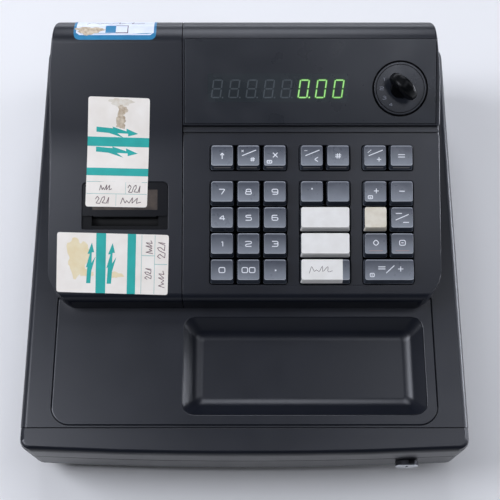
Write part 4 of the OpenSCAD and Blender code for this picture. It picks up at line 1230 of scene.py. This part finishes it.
@dataclass
class DisplayPanel:
    """Smoked window with the digits, the mode dial and its key.

    Lengths are in millimetres in the frame of the display. A pair of heights gives the lower and
    the upper face of a plate.
    """

    digit_area: Area = (-27.3, 17.1, 76.5, 38.0)
    area_heights: Point = (-0.02, 0.01)
    area_corner: float = 0.8
    digit_first: float = -20.4
    digit_last: float = 69.4
    digit_low: float = 19.9
    digit_high: float = 33.6
    digit_w: float = 7.4
    digit_back: float = 1.0
    digit_count: int = 8
    lit_count: int = 3
    segment: float = 0.95
    segment_gap: float = 0.45
    segment_cut: float = 0.4
    dot_r: float = 0.6
    dot_gap: float = 1.3
    halo: float = 0.55
    slant: float = 8.0
    proud: float = 0.04
    dial_r: float = 20.6
    dial_groove: float = 1.25
    groove_heights: Point = (0.0, 0.25)
    plate_heights: Point = (0.0, 0.45)
    plate_edge: float = 0.3
    line_r: float = 18.0
    line_w: float = 0.5
    line_heights: Point = (0.3, 0.47)
    number_turns: tuple[int, ...] = (150, 180, 210, 240)
    number_r: float = 13.6
    number_size: Point = (2.6, 2.2)
    number_pen: float = 0.42
    number_heights: Point = (0.43, 0.48)
    hub_r: float = 5.2
    hub_room: float = 2
    window_edge: float = 0.35
    barrel_edge: float = 0.4
    barrel_length: float = 0.3
    bow_edge: float = 1.5
    bow_thicker: float = 1.8
    bow_end: float = 1.0
    bow_reach: float = 12.0
    bow_from: float = 5
    bow_over: float = 5

    def build(self) -> None:
        """Builds the window, the digits, the dial, the barrel and the key."""
        window = shell("display_window")
        top = DISPLAY.extent("display_window")[1].z
        soften(window, self.window_edge * MM,
               lambda m, a, angle, n: DISPLAY.local(m).z > top - NEAR and angle > BENT, 2)
        complete(window, SMOKED_ACRYLIC, "root", "smoked_window", "display_window")
        self.digits()
        self.dial()
        self.switch()

    def digits(self) -> None:
        """Builds the area of the tube and its digits."""
        x0, y0, x1, y1 = self.digit_area
        below, above = self.area_heights
        area = box_mesh((x0, y0, below), (x1, y1, above))
        soften(area, self.area_corner, lambda m, a, angle, n: abs(a.z) > ALONG, 3)
        area.name = "tube_area"
        clothe(area, TUBE_ACRYLIC)
        enlist(settle(area, DISPLAY.matrix), "root", "tube_glass")
        pitch = (self.digit_last - self.digit_first) / (self.digit_count - 1)
        first_lit = self.digit_count - self.lit_count
        lean = Matrix.Identity(4)
        lean[0][1] = math.tan(math.radians(self.slant))
        for i in range(self.digit_count):
            lit = i >= first_lit
            bars = [bar for name, bar in self.bars().items() if not lit or name != "middle"]
            dotted = i == first_lit or not lit
            finish = PHOSPHOR if lit else PHOSPHOR_OFF
            parts = [self.digit(f"digit_{i + 1}", bars, 0.0, dotted, finish)]
            if lit:
                parts.append(self.digit(f"digit_{i + 1}_halo", bars, self.halo, dotted, HALO))
            at = (self.digit_first + i * pitch - self.digit_back, self.digit_low, 0)
            for part in parts:
                part.data.transform(Matrix.Translation(at) @ lean)
                enlist(settle(part, DISPLAY.matrix), "root", "tube_glass")

    def digit(self, name: str, bars: list[Area], grow: float, dotted: bool,
              finish: Finish) -> Piece:
        """Builds one digit from its segments.

        Args:
            name: The name of the piece.
            bars: The segments.
            grow: How much wider than a segment each plate is on every side.
            dotted: Whether a dot follows the digit.
            finish: The finish.

        Returns:
            The digit about its foot.
        """
        top = self.proud / 2 if grow else self.proud
        parts = [self.bar(x0 - grow, y0 - grow, x1 + grow, y1 + grow, top)
                 for x0, y0, x1, y1 in bars]
        if dotted:
            at = (self.digit_w / 2 + self.dot_gap, self.segment / 2)
            parts.append(disc_mesh(self.dot_r + grow, 0.0, top, at, 12))
        piece = joined(name, parts)
        clothe(piece, finish)
        return piece

    def bar(self, x0: float, y0: float, x1: float, y1: float, top: float) -> Piece:
        """Models one segment as a thin plate with its corners cut.

        Args:
            x0: Its left side.
            y0: Its lower side.
            x1: Its right side.
            y1: Its upper side.
            top: Its upper face.

        Returns:
            The plate.
        """
        piece = box_mesh((x0, y0, 0.0), (x1, y1, top))
        soften(piece, self.segment * self.segment_cut, lambda m, a, angle, n: abs(a.z) > ALONG, 1)
        return piece

    def bars(self) -> dict[str, Area]:
        """Works out the seven segments of a digit.

        Returns:
            Their areas about the digit's foot, each with a gap at its ends.
        """
        w, h = self.digit_w / 2, self.digit_high - self.digit_low
        t, gap = self.segment, self.segment_gap
        mid = h / 2
        return {
            "top": (-w + t, h - t, w - t, h),
            "middle": (-w + t, mid - t / 2, w - t, mid + t / 2),
            "bottom": (-w + t, 0, w - t, t),
            "top_left": (-w, mid + gap, -w + t, h - gap),
            "top_right": (w - t, mid + gap, w, h - gap),
            "low_left": (-w, gap, -w + t, mid - gap),
            "low_right": (w - t, gap, w, mid - gap),
        }

    def dial(self) -> None:
        """Builds the groove and a thin line as flat black rings of painted shade, the plate inside
        the groove and plain numbers for the four positions.
        """
        low, high = DISPLAY.extent("lock_barrel")
        place = Matrix.Translation(((low.x + high.x) / 2, (low.y + high.y) / 2, 0))
        inner = self.dial_r - self.dial_groove
        groove = self.ring("dial_groove", self.dial_r, inner, *self.groove_heights)
        clothe(groove, SHADOW)
        plate = self.ring("dial_plate", inner, self.hub_r + self.hub_room, *self.plate_heights)
        soften(plate, self.plate_edge,
               lambda m, a, angle, n: m.z > self.plate_heights[1] - NEAR and angle > BENT
               and m.length > self.number_r, 2)
        clothe(plate, DIAL_ACRYLIC)
        numbers = []
        for i, turn in enumerate(self.number_turns):
            angle = math.radians(turn)
            at = (self.number_r * math.cos(angle), self.number_r * math.sin(angle))
            numbers.append(strokes(GLYPHS[str(i + 1)], self.number_size, at, self.number_pen,
                                   *self.number_heights))
        line = self.ring("dial_line", self.line_r, self.line_r - self.line_w, *self.line_heights)
        clothe(line, SHADOW)
        ink = joined("dial_numbers", numbers)
        clothe(ink, DIAL_INK)
        for piece in (groove, plate, line, ink):
            piece.data.transform(place)
            settle(piece, DISPLAY.matrix)
            if piece is not ink:
                smooth(piece, degrees=40)
            enlist(piece, "root", "smoked_window")

    def switch(self) -> None:
        """Dresses the barrel of the mode switch and the bow of its key."""
        barrel = shell("lock_barrel")
        soften(barrel, self.barrel_edge * MM,
               lambda m, a, angle, n: angle > SHARP and n > self.barrel_length * MM, 2)
        complete(barrel, KEY_PLASTIC, "lock_barrel", "inner_plastic", "lock_barrel")
        bow = shell("mode_key")
        soften(bow, self.bow_edge * MM,
               lambda m, a, angle, n: angle > SHARP and DISPLAY.local(m).z > self.bow_from, 4)
        self.thicken(bow)
        complete(bow, KEY_PLASTIC, "mode_key", "inner_plastic", "mode_key", degrees=50)

    def thicken(self, bow: Piece) -> None:
        """Gives the round part of the bow a lens shape.

        Args:
            bow: The key.
        """
        low, high = DISPLAY.extent("lock_barrel")
        middle = (low + high) / 2
        across = Vector((math.sqrt(0.5), math.sqrt(0.5), 0))
        along = Vector((math.sqrt(0.5), -math.sqrt(0.5), 0))
        for vertex in bow.data.vertices:
            place = DISPLAY.local(vertex.co)
            reach = min(1.0, abs((place - middle).dot(along)) / self.bow_reach)
            lens = self.bow_thicker + (self.bow_end - self.bow_thicker) * reach * reach
            risen = share(place.z, self.bow_from, self.bow_over)
            swell = (place - middle).dot(across) * (lens - 1) * risen
            vertex.co = DISPLAY.matrix @ ((place + across * swell) * MM)

    @staticmethod
    def ring(name: str, outer: float, inner: float, low: float, high: float) -> Piece:
        """Models a ring from a disc by insetting its faces and bridging the two insets.

        Args:
            name: The name of the piece.
            outer: The outer radius.
            inner: The radius of its hole.
            low: The lower face.
            high: The upper face.

        Returns:
            The ring about the origin.
        """
        piece = disc_mesh(outer, low, high, sides=96)
        choose(piece, Part.FACES, lambda c, n: abs(n.z) > ALONG)
        bpy.ops.mesh.inset(thickness=outer - inner, use_individual=True)
        bpy.ops.mesh.bridge_edge_loops()
        bpy.ops.object.mode_set(mode="OBJECT")
        piece.name = name
        return piece


@dataclass(frozen=True)
class Print:
    """One shape printed on a sticker: its finish, its outline in shares of the sheet, its layer."""

    finish: Finish
    outline: tuple[Point, ...]
    level: int = 1


# Half the width of a ballpoint line on paper, in millimetres
HALF_PEN = 0.24
# Points of a blot's outline, and its waves: how many round it, how deep and how far each is turned
BLOT_POINTS = 40
BLOT_WAVES = ((3, 0.16, 1), (7, 0.1, 2), (13, 0.05, 0))


def band(finish: Finish, u0: float, v0: float, u1: float, v1: float) -> Print:
    """Returns a printed rectangle between two corners."""
    return Print(finish, ((u0, v0), (u1, v0), (u1, v1), (u0, v1)))


def blot(finish: Finish, u: float, v: float, width: float, height: float, turn: float,
         level: int = 0) -> Print:
    """Draws an uneven blot.

    Args:
        finish: Its finish.
        u: Its middle across.
        v: Its middle up.
        width: Half its width.
        height: Half its height.
        turn: What makes this blot unlike the others.
        level: How high it lies among the prints.

    Returns:
        The blot.
    """
    points = []
    for i in range(BLOT_POINTS):
        a = math.tau * i / BLOT_POINTS
        r = 1 + sum(deep * math.sin(count * a + turned * turn)
                    for count, deep, turned in BLOT_WAVES)
        points.append((u + width * r * math.cos(a), v + height * r * math.sin(a)))
    return Print(finish, tuple(points), level)


def written(at: Point, size: Point, sheet: Point, glyph: str = "scrawl",
            upright: bool = False) -> list[Print]:
    """Draws a few pen strokes.

    Args:
        at: Their left end and foot, as shares of the sheet.
        size: Their length and height, as shares.
        sheet: Width and height of the sheet in millimetres.
        glyph: The shape that the pen follows.
        upright: Whether the line runs up the sheet.

    Returns:
        One thin outline for each stroke.
    """
    result = []
    for path in GLYPHS[glyph]:
        turned = [(1 - y, x) if upright else (x, y) for x, y in path]
        points = [Vector(((at[0] + x * size[0]) * sheet[0], (at[1] + y * size[1]) * sheet[1]))
                  for x, y in turned]
        for start, end in zip(points, points[1:]):
            side = Vector((start.y - end.y, end.x - start.x)).normalized() * HALF_PEN
            corners = (start - side, end - side, end + side, start + side)
            outline = tuple((p.x / sheet[0], p.y / sheet[1]) for p in corners)
            result.append(Print(PEN_INK, outline, 2))
    return result


def zigzag(finish: Finish, u: float, v: float, width: float, height: float, upright: bool) -> Print:
    """Draws a plain zigzag arrow.

    Args:
        finish: Its finish.
        u: Its left side.
        v: Its lower side.
        width: Its width.
        height: Its height.
        upright: Whether it points up instead of to the right.

    Returns:
        The arrow.
    """
    points = [(0, 0.5), (0, 0.95), (0.4, 0.85), (0.38, 1), (0.72, 0.6), (0.72, 0.85), (1, 0.4),
              (0.76, 0.15), (0.76, 0.4), (0.5, 0.42), (0.66, 0.0), (0.3, 0.42)]
    if upright:
        points = [(1 - y, x) for x, y in points]
    return Print(finish, tuple((u + x * width, v + y * height) for x, y in points))


@dataclass(frozen=True)
class Sticker:
    """A paper sticker that follows the printer cover.

    corners are the bottom left, bottom right, top right and top left corners in the plane's
    millimetres, seen from above. step and column are the sizes of the sheet's facets, and bend is
    the stretch of Y with the finer fine_step. above is where the flat sheet starts, to be laid down
    from there. A print lies one layer higher for each level, and stagger keeps prints of one level
    apart.
    """

    name: str
    plane: Plane
    corners: tuple[Point, Point, Point, Point]
    paper: Finish
    prints: tuple[Print, ...]
    corner_r: float = 2.0
    bend: Point = (0.0, 0.0)
    fine_step: float = 0.5
    step: float = 2.5
    column: float = 4.0
    lift: float = 0.05
    thick: float = 0.1
    ink: float = 0.02
    layer: float = 0.02
    stagger: float = 0.006
    above: float = 60

    def build(self, target: Piece) -> None:
        """Builds the sheet and its print, wrapped on the cover.

        Args:
            target: The surface that the sticker lies on.
        """
        sheet = self.wrapped(self.sheet_outline(), target, self.lift, self.thick)
        parts = [sheet]
        finishes = [self.paper]
        clothe(sheet, self.paper)
        for i, printed in enumerate(self.prints):
            lift = self.lift + self.thick + self.layer * printed.level + self.stagger * (i % 3)
            part = self.wrapped([self.place(*p) for p in printed.outline], target, lift, self.ink)
            if printed.finish not in finishes:
                finishes.append(printed.finish)
            clothe(part, printed.finish)
            parts.append(part)
        piece = joined(self.name, parts)
        smooth(piece, 35)
        enlist(piece, "printer_cover", "paper")

    def place(self, u: float, v: float) -> Point:
        """Returns the point in the plane's millimetres for shares of the width and height."""
        low_left, low_right, high_right, high_left = (Vector(c) for c in self.corners)
        return tuple(low_left.lerp(low_right, u).lerp(high_left.lerp(high_right, u), v))

    def sheet_outline(self) -> list[Point]:
        """Draws the outline of the sheet.

        Returns:
            Its points in the plane's millimetres, with round corners.
        """
        points = []
        for i, corner in enumerate(self.corners):
            here = Vector(corner)
            before = (Vector(self.corners[i - 1]) - here).normalized() * self.corner_r
            after = (Vector(self.corners[(i + 1) % 4]) - here).normalized() * self.corner_r
            for t in (0, 0.25, 0.5, 0.75, 1):
                points.append(tuple(here + before * (1 - t) ** 2 + after * t ** 2))
        return points

    def wrapped(self, outline: Sequence[Point], target: Piece, lift: float, thick: float) -> Piece:
        """Lays a flat shape on the target, and gives it its thickness.

        Args:
            outline: The shape in the plane's millimetres.
            target: The surface.
            lift: How far above the surface it lies.
            thick: Its thickness.

        Returns:
            The mesh, in place and in metres.
        """
        piece = outline_mesh(outline, 0, 0)
        if sum(face.normal.z for face in piece.data.polygons) < 0:
            piece.data.flip_normals()
        low, high = min(p[1] for p in outline), max(p[1] for p in outline)
        bpy.ops.object.mode_set(mode="EDIT")
        first, last = math.ceil(low / self.step), math.ceil(high / self.step)
        rows = {i * self.step for i in range(first, last)}
        count = int((self.bend[1] - self.bend[0]) / self.fine_step)
        fine = (self.bend[0] + i * self.fine_step for i in range(count))
        rows |= {row for row in fine if low < row < high}
        for row in sorted(rows):
            cut((0, row, 0), (0, 1, 0))
        left, right = min(p[0] for p in outline), max(p[0] for p in outline)
        for i in range(math.ceil(left / self.column), math.ceil(right / self.column)):
            cut((i * self.column, 0, 0), (1, 0, 0))
        bpy.ops.object.mode_set(mode="OBJECT")
        piece.data.transform(Matrix.Translation((0, 0, self.above * MM)) @ Matrix.Scale(MM, 4))
        piece.matrix_world = self.plane.matrix
        wrap = piece.modifiers.new("wrap", "SHRINKWRAP")
        wrap.wrap_method = "PROJECT"
        wrap.use_project_z = True
        wrap.use_positive_direction = False
        wrap.use_negative_direction = True
        wrap.target = target
        bpy.ops.object.modifier_apply(modifier=wrap.name)
        solid = piece.modifiers.new("solid", "SOLIDIFY")
        solid.thickness = thick * MM
        solid.offset = 1.0
        bpy.ops.object.modifier_apply(modifier=solid.name)
        piece.data.transform(self.plane.matrix @ Matrix.Translation((0, 0, lift * MM)))
        piece.matrix_world = Matrix.Identity(4)
        return piece


# Widths and heights of the three sheets, for strokes that keep their shape on them
TALL_SHEET = (45.6, 81.0)
WIDE_SHEET = (82.5, 44.9)
CREST_SHEET = (61.0, 33.2)

TALL_STICKER = Sticker(
    "sticker_tall", KEYBOARD,
    ((-117.8, 66.0), (-72.2, 65.2), (-70.0, 145.8), (-115.5, 147.4)), LABEL_PAPER,
    (
        blot(OLD_GLUE, 0.53, 0.955, 0.19, 0.036, 0.4),
        blot(TORN_PAPER, 0.56, 0.885, 0.075, 0.046, 1.3),
        blot(TORN_PAPER, 0.53, 0.81, 0.075, 0.052, 2.6),
        blot(TORN_PAPER, 0.54, 0.752, 0.07, 0.034, 4.0),
        zigzag(TEAL_INK, 0.14, 0.635, 0.68, 0.1, False), band(TEAL_INK, 0.0, 0.555, 1.0, 0.64),
        zigzag(TEAL_INK, 0.14, 0.455, 0.68, 0.1, False), band(TEAL_INK, 0.0, 0.287, 1.0, 0.357),
        band(PALE_TEAL_INK, 0.01, 0.228, 0.99, 0.232),
        band(PALE_TEAL_INK, 0.01, 0.118, 0.99, 0.122),
        band(PALE_TEAL_INK, 0.64, 0.122, 0.645, 0.228),
        band(PALE_TEAL_INK, 0.49, 0.01, 0.495, 0.118),
        *written((0.22, 0.15), (0.2, 0.055), TALL_SHEET),
        *written((0.68, 0.135), (0.22, 0.07), TALL_SHEET, "scribble"),
        *written((0.16, 0.03), (0.24, 0.065), TALL_SHEET, "scribble"),
        *written((0.57, 0.03), (0.33, 0.062), TALL_SHEET),
    ))
WIDE_STICKER = Sticker(
    "sticker_wide", KEYBOARD,
    ((-138.4, 2.9), (-56.6, 0.5), (-55.8, 44.8), (-138.3, 47.0)), LABEL_PAPER,
    (
        blot(STAIN, 0.19, 0.6, 0.1, 0.31, 0.8), blot(STAIN, 0.27, 0.33, 0.06, 0.06, 3.0),
        blot(STAIN, 0.52, 0.31, 0.075, 0.05, 2.1),
        zigzag(TEAL_INK, 0.262, 0.16, 0.085, 0.68, True), band(TEAL_INK, 0.351, 0.0, 0.439, 1.0),
        zigzag(TEAL_INK, 0.446, 0.16, 0.088, 0.68, True), band(TEAL_INK, 0.632, 0.0, 0.707, 1.0),
        band(PALE_TEAL_INK, 0.757, 0.01, 0.761, 0.99),
        band(PALE_TEAL_INK, 0.875, 0.01, 0.879, 0.99),
        band(PALE_TEAL_INK, 0.761, 0.64, 0.875, 0.65),
        band(PALE_TEAL_INK, 0.879, 0.5, 0.99, 0.51),
        *written((0.79, 0.25), (0.06, 0.2), WIDE_SHEET, "scribble", True),
        *written((0.79, 0.68), (0.07, 0.22), WIDE_SHEET, "scrawl", True),
        *written((0.91, 0.12), (0.06, 0.28), WIDE_SHEET, "scrawl", True),
        *written((0.9, 0.6), (0.07, 0.3), WIDE_SHEET, "scribble", True),
    ),
    bend=(-2.0, 12.0), lift=0.12)
CREST_STICKER = Sticker(
    "sticker_crest", CREST,
    ((-126.3, -11.7), (-65.3, -11.7), (-65.3, 21.5), (-126.3, 21.5)), BLUE_INK,
    (
        Print(BACK_LABEL, ((0.03, 1.0), (0.97, 1.0), (0.97, 0.14), (0.93, 0.09), (0.07, 0.09),
                           (0.03, 0.14)), 0),
        blot(TORN_PAPER, 0.19, 0.21, 0.17, 0.105, 0.5, 1), band(BLUE_INK, 0.385, 0.14, 0.51, 0.36),
        band(PEN_INK, 0.51, 0.13, 0.66, 0.15), band(PEN_INK, 0.51, 0.35, 0.66, 0.37),
        band(PEN_INK, 0.65, 0.13, 0.66, 0.37), *written((0.15, 0.43), (0.7, 0.1), CREST_SHEET),
    ),
    corner_r=4.5, step=1.0, lift=0.1)


@dataclass
class PrinterLid:
    """Printer cover with its clear pane and the stickers on it."""

    side_edge: float = 1.4
    side_from: float = 90
    recess_edge: float = 0.35
    recess_rim: Area = (-125.0, 40.0, -52.0, 90.0)
    recess: Area = (-125.0, 44.0, -52.0, 92.0)
    recess_deep: float = -9.0
    recess_top: float = -0.3
    bay: Area = (-112.5, 63.5, -64.5, 78.5)
    bay_tilt: float = 0.5
    stickers: tuple[Sticker, ...] = (TALL_STICKER, WIDE_STICKER, CREST_STICKER)

    def build(self) -> None:
        """Builds the cover, the pane and the stickers."""
        target = joined("sticker_bed", [shell("printer_cover"), shell("receipt_window")])
        piece = shell("printer_cover")
        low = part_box("printer_cover")[0]
        soften(piece, self.side_edge * MM,
               lambda m, a, angle, n: abs(m.x - low.x) < NEAR * MM and angle > RIDGE
               and m.z > self.side_from * MM)
        soften(piece, self.recess_edge * MM,
               lambda m, a, angle, n: abs(KEYBOARD.local(m).z) < NEAR and angle > RIDGE
               and within(KEYBOARD.local(m), self.recess_rim), 2)
        SIDES.draw(piece)
        clothe(piece, CASE_ABS, RECESS_SHADE_ABS)
        # Faces in the recess around the slot take the painted shade
        for face in piece.data.polygons:
            face.material_index = int(self.in_recess(face.center))
        smooth(piece)
        enlist(piece, "printer_cover", "case_plastic", "printer_cover")
        self.pane()
        for sticker in self.stickers:
            sticker.build(target)
        bpy.data.objects.remove(target)

    def in_recess(self, middle: Vector) -> bool:
        """Tells whether a face lies in the recess around the slot, below the top of the cover."""
        place = KEYBOARD.local(middle)
        return within(place, self.recess) and self.recess_deep < place.z < self.recess_top

    def pane(self) -> None:
        """Builds the clear pane, brown where the paper bay shows through it."""
        pane = shell("receipt_window")
        focus(pane)
        bpy.ops.object.mode_set(mode="EDIT")
        left, low, right, high = self.bay
        for x, y, axis in ((left, 0, 0), (right, 0, 0), (0, low, 1), (0, high, 1)):
            cut(KEYBOARD.matrix @ (Vector((x, y, 0)) * MM), KEYBOARD.matrix.col[axis].to_3d())
        bpy.ops.object.mode_set(mode="OBJECT")
        clothe(pane, PANE_EDGE, PANE)
        for face in pane.data.polygons:
            if within(KEYBOARD.local(face.center), self.bay) and face.normal.z > self.bay_tilt:
                face.material_index = 1
        smooth(pane)
        enlist(pane, "printer_cover", "amber_window", "receipt_window")


@dataclass
class Drawer:
    """Drawer front with its lock."""

    edge: float = 0.35
    edge_angle: float = 0.9
    edge_length: float = 5
    lock_edge: float = 0.5
    lock_face: float = 1.6

    def build(self) -> None:
        """Builds the drawer front and the lock."""
        piece = shell("drawer_front")
        soften(piece, self.edge * MM,
               lambda m, a, angle, n: angle > self.edge_angle and n > self.edge_length * MM, 2)
        complete(piece, CASE_ABS, "drawer", "case_plastic", "drawer_front")
        lock = shell("drawer_lock")
        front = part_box("drawer_lock")[0].y
        soften(lock, self.lock_edge * MM,
               lambda m, a, angle, n: m.y < front + NEAR * MM and angle > SHARP, 3)
        clothe(lock, CHROME, BARREL)
        # The barrel behind the chromed face takes the painted shade
        for face in lock.data.polygons:
            face.material_index = int(face.center.y > front + self.lock_face * MM)
        smooth(lock)
        enlist(lock, "drawer_lock", "chrome", "drawer_lock")


@dataclass
class Feet:
    """Rubber feet with a rounded lower rim."""

    rim: float = 1.2

    def build(self) -> None:
        """Builds the four feet."""
        piece = shell("feet")
        soften(piece, self.rim * MM, lambda m, a, angle, n: m.z < NEAR * MM and angle > SHARP, 3)
        complete(piece, RUBBER, "root", "rubber", "feet")


@dataclass
class Works:
    """Finishes of the CAD nodes that keep their shape."""

    finishes: dict[str, Finish] = field(default_factory=lambda: {
        "circuit_boards": BOARD, "display_tubes": TUBE_GLASS, "customer_window": SMOKED_ACRYLIC,
        "transformer": STEEL, "cord_bushing": RUBBER, "screws": STEEL, "printer_frame": STEEL,
        "printer_motor": STEEL, "drawer_box": DRAWER_STEEL, "cash_insert": DARK_ABS,
        # The key frame is painted black as the shade in the gaps between the caps
        "key_frame": SHADOW,
        "note_clip_left": STEEL, "note_clip_middle": STEEL, "note_clip_right": STEEL,
        "feed_roller": RUBBER, "print_drum": DARK_ABS, "paper_roll": ROLL_PAPER,
    })

    def build(self) -> None:
        """Paints every CAD node that is still shown."""
        for node, finish in self.finishes.items():
            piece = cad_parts[node]
            if not piece.material_slots:
                piece.data.materials.append(finish.material())
            for slot in piece.material_slots:
                slot.material = finish.material()
            LOG.info("%s keeps its shape, in %s", node, finish.name)


# A lamp's place, the width and height of its face, and its power
Lamp = tuple[tuple[float, float, float], Point, float]


@dataclass
class Studio:
    """Pale floor, soft light and the camera of the photograph.

    camera_at is in millimetres, the rest in metres and watts. wall_top and ceiling_from are the
    sines of the heights between which the room turns from its pale walls to its dark ceiling.
    """

    camera_at: tuple[float, float, float] = (4.0, -283.3, 823.1)
    camera_down: float = 70.0
    focal_share: float = 2.052
    sensor: float = 36.0
    floor_size: float = 14
    room_colour: str = "#e6ebf7"
    wall_strength: float = 0.6
    ceiling_strength: float = 0.04
    wall_top: float = 0.12
    ceiling_from: float = 0.38
    lamp_colour: str = "#eff3ff"
    lamp_aim: float = 0.1
    lamps: dict[str, Lamp] = field(default_factory=lambda: {
        "back_softbox": ((0.0, 1.0, 1.1), (0.7, 0.7), 7.0),
        "left_softbox": ((-0.95, 0.05, 1.1), (0.6, 0.6), 11.0),
        "top_left_softbox": ((-0.55, -0.05, 1.3), (0.4, 0.4), 2.2),
        "top_right_softbox": ((0.45, 0.1, 1.3), (0.4, 0.4), 1.3),
        "front_left_softbox": ((-0.28, -0.15, 1.35), (0.3, 0.3), 0.4),
        "front_right_softbox": ((0.3, -0.2, 1.35), (0.25, 0.25), 0.7),
        "back_strip": ((-0.1, 1.2, 0.2), (1.2, 0.2), 3.0),
        "right_strip": ((1.1, 0.1, 0.08), (0.8, 0.1), 11.0),
        "right_softbox": ((0.95, 0.0, 1.0), (0.6, 0.6), 2.5),
    })

    def build(self) -> None:
        """Builds floor, world, lamps and camera."""
        bpy.ops.object.select_all(action="DESELECT")
        bpy.ops.mesh.primitive_plane_add(size=self.floor_size)
        floor = bpy.context.object
        floor.name = "floor"
        clothe(floor, Finish("Painted studio floor", "#edecea", "#f1f0ee", roughness=0.9,
                             mottle_mm=300, specular=0.1, bump=0.0))
        self.room()
        for name, (at, face, watts) in self.lamps.items():
            self.lamp(name, at, face, watts)
        self.camera()

    def room(self) -> None:
        """Sets up the world as a room with pale walls and a dark ceiling."""
        world = bpy.data.worlds.new("studio")
        world.use_nodes = True
        tree = world.node_tree
        background = tree.nodes["Background"]
        background.inputs["Color"].default_value = linear(self.room_colour)
        way = add_node(tree, "ShaderNodeTexCoord").outputs["Generated"]
        up = add_node(tree, "ShaderNodeSeparateXYZ", {"Vector": way}).outputs["Z"]
        limits = {"Value": up, "From Min": self.wall_top, "From Max": self.ceiling_from,
                  "To Min": self.wall_strength, "To Max": self.ceiling_strength}
        fade = add_node(tree, "ShaderNodeMapRange", limits, interpolation_type="SMOOTHSTEP")
        tree.links.new(fade.outputs["Result"], background.inputs["Strength"])
        bpy.context.scene.world = world

    def lamp(self, name: str, at: tuple[float, float, float], face: Point, watts: float) -> None:
        """Sets up a softbox that looks at the register.

        Args:
            name: The lamp's name.
            at: Its place in metres.
            face: Width and height of its face.
            watts: Its power.
        """
        light = bpy.data.lights.new(name, "AREA")
        light.shape = "RECTANGLE"
        light.size, light.size_y = face
        light.energy = watts
        light.color = linear(self.lamp_colour)[:3]
        lamp = bpy.data.objects.new(name, light)
        lamp.location = at
        way = Vector((0, 0, min(self.lamp_aim, at[2]))) - Vector(at)
        lamp.rotation_euler = way.to_track_quat("-Z", "Y").to_euler()
        bpy.context.scene.collection.objects.link(lamp)

    def camera(self) -> None:
        """Sets up the camera at the photograph's view."""
        data = bpy.data.cameras.new("camera")
        data.sensor_width = self.sensor
        data.lens = self.focal_share * self.sensor
        camera = bpy.data.objects.new("camera", data)
        camera.location = Vector(self.camera_at) * MM
        camera.rotation_euler = (math.radians(90 - self.camera_down), 0, 0)
        bpy.context.scene.collection.objects.link(camera)
        bpy.context.scene.camera = camera


def main() -> None:
    """Builds the register and its studio."""
    logging.basicConfig(level=logging.INFO, format="%(name)s: %(message)s")
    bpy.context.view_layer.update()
    bpy.context.scene.view_settings.view_transform = "Standard"
    Studio().build()
    for part in (CaseShells(), Console(), Keyboard(), DisplayPanel(), PrinterLid(), Drawer(),
                 Feet(), Works()):
        LOG.info("building %s", type(part).__name__)
        part.build()


if __name__ == "__main__":
    main()
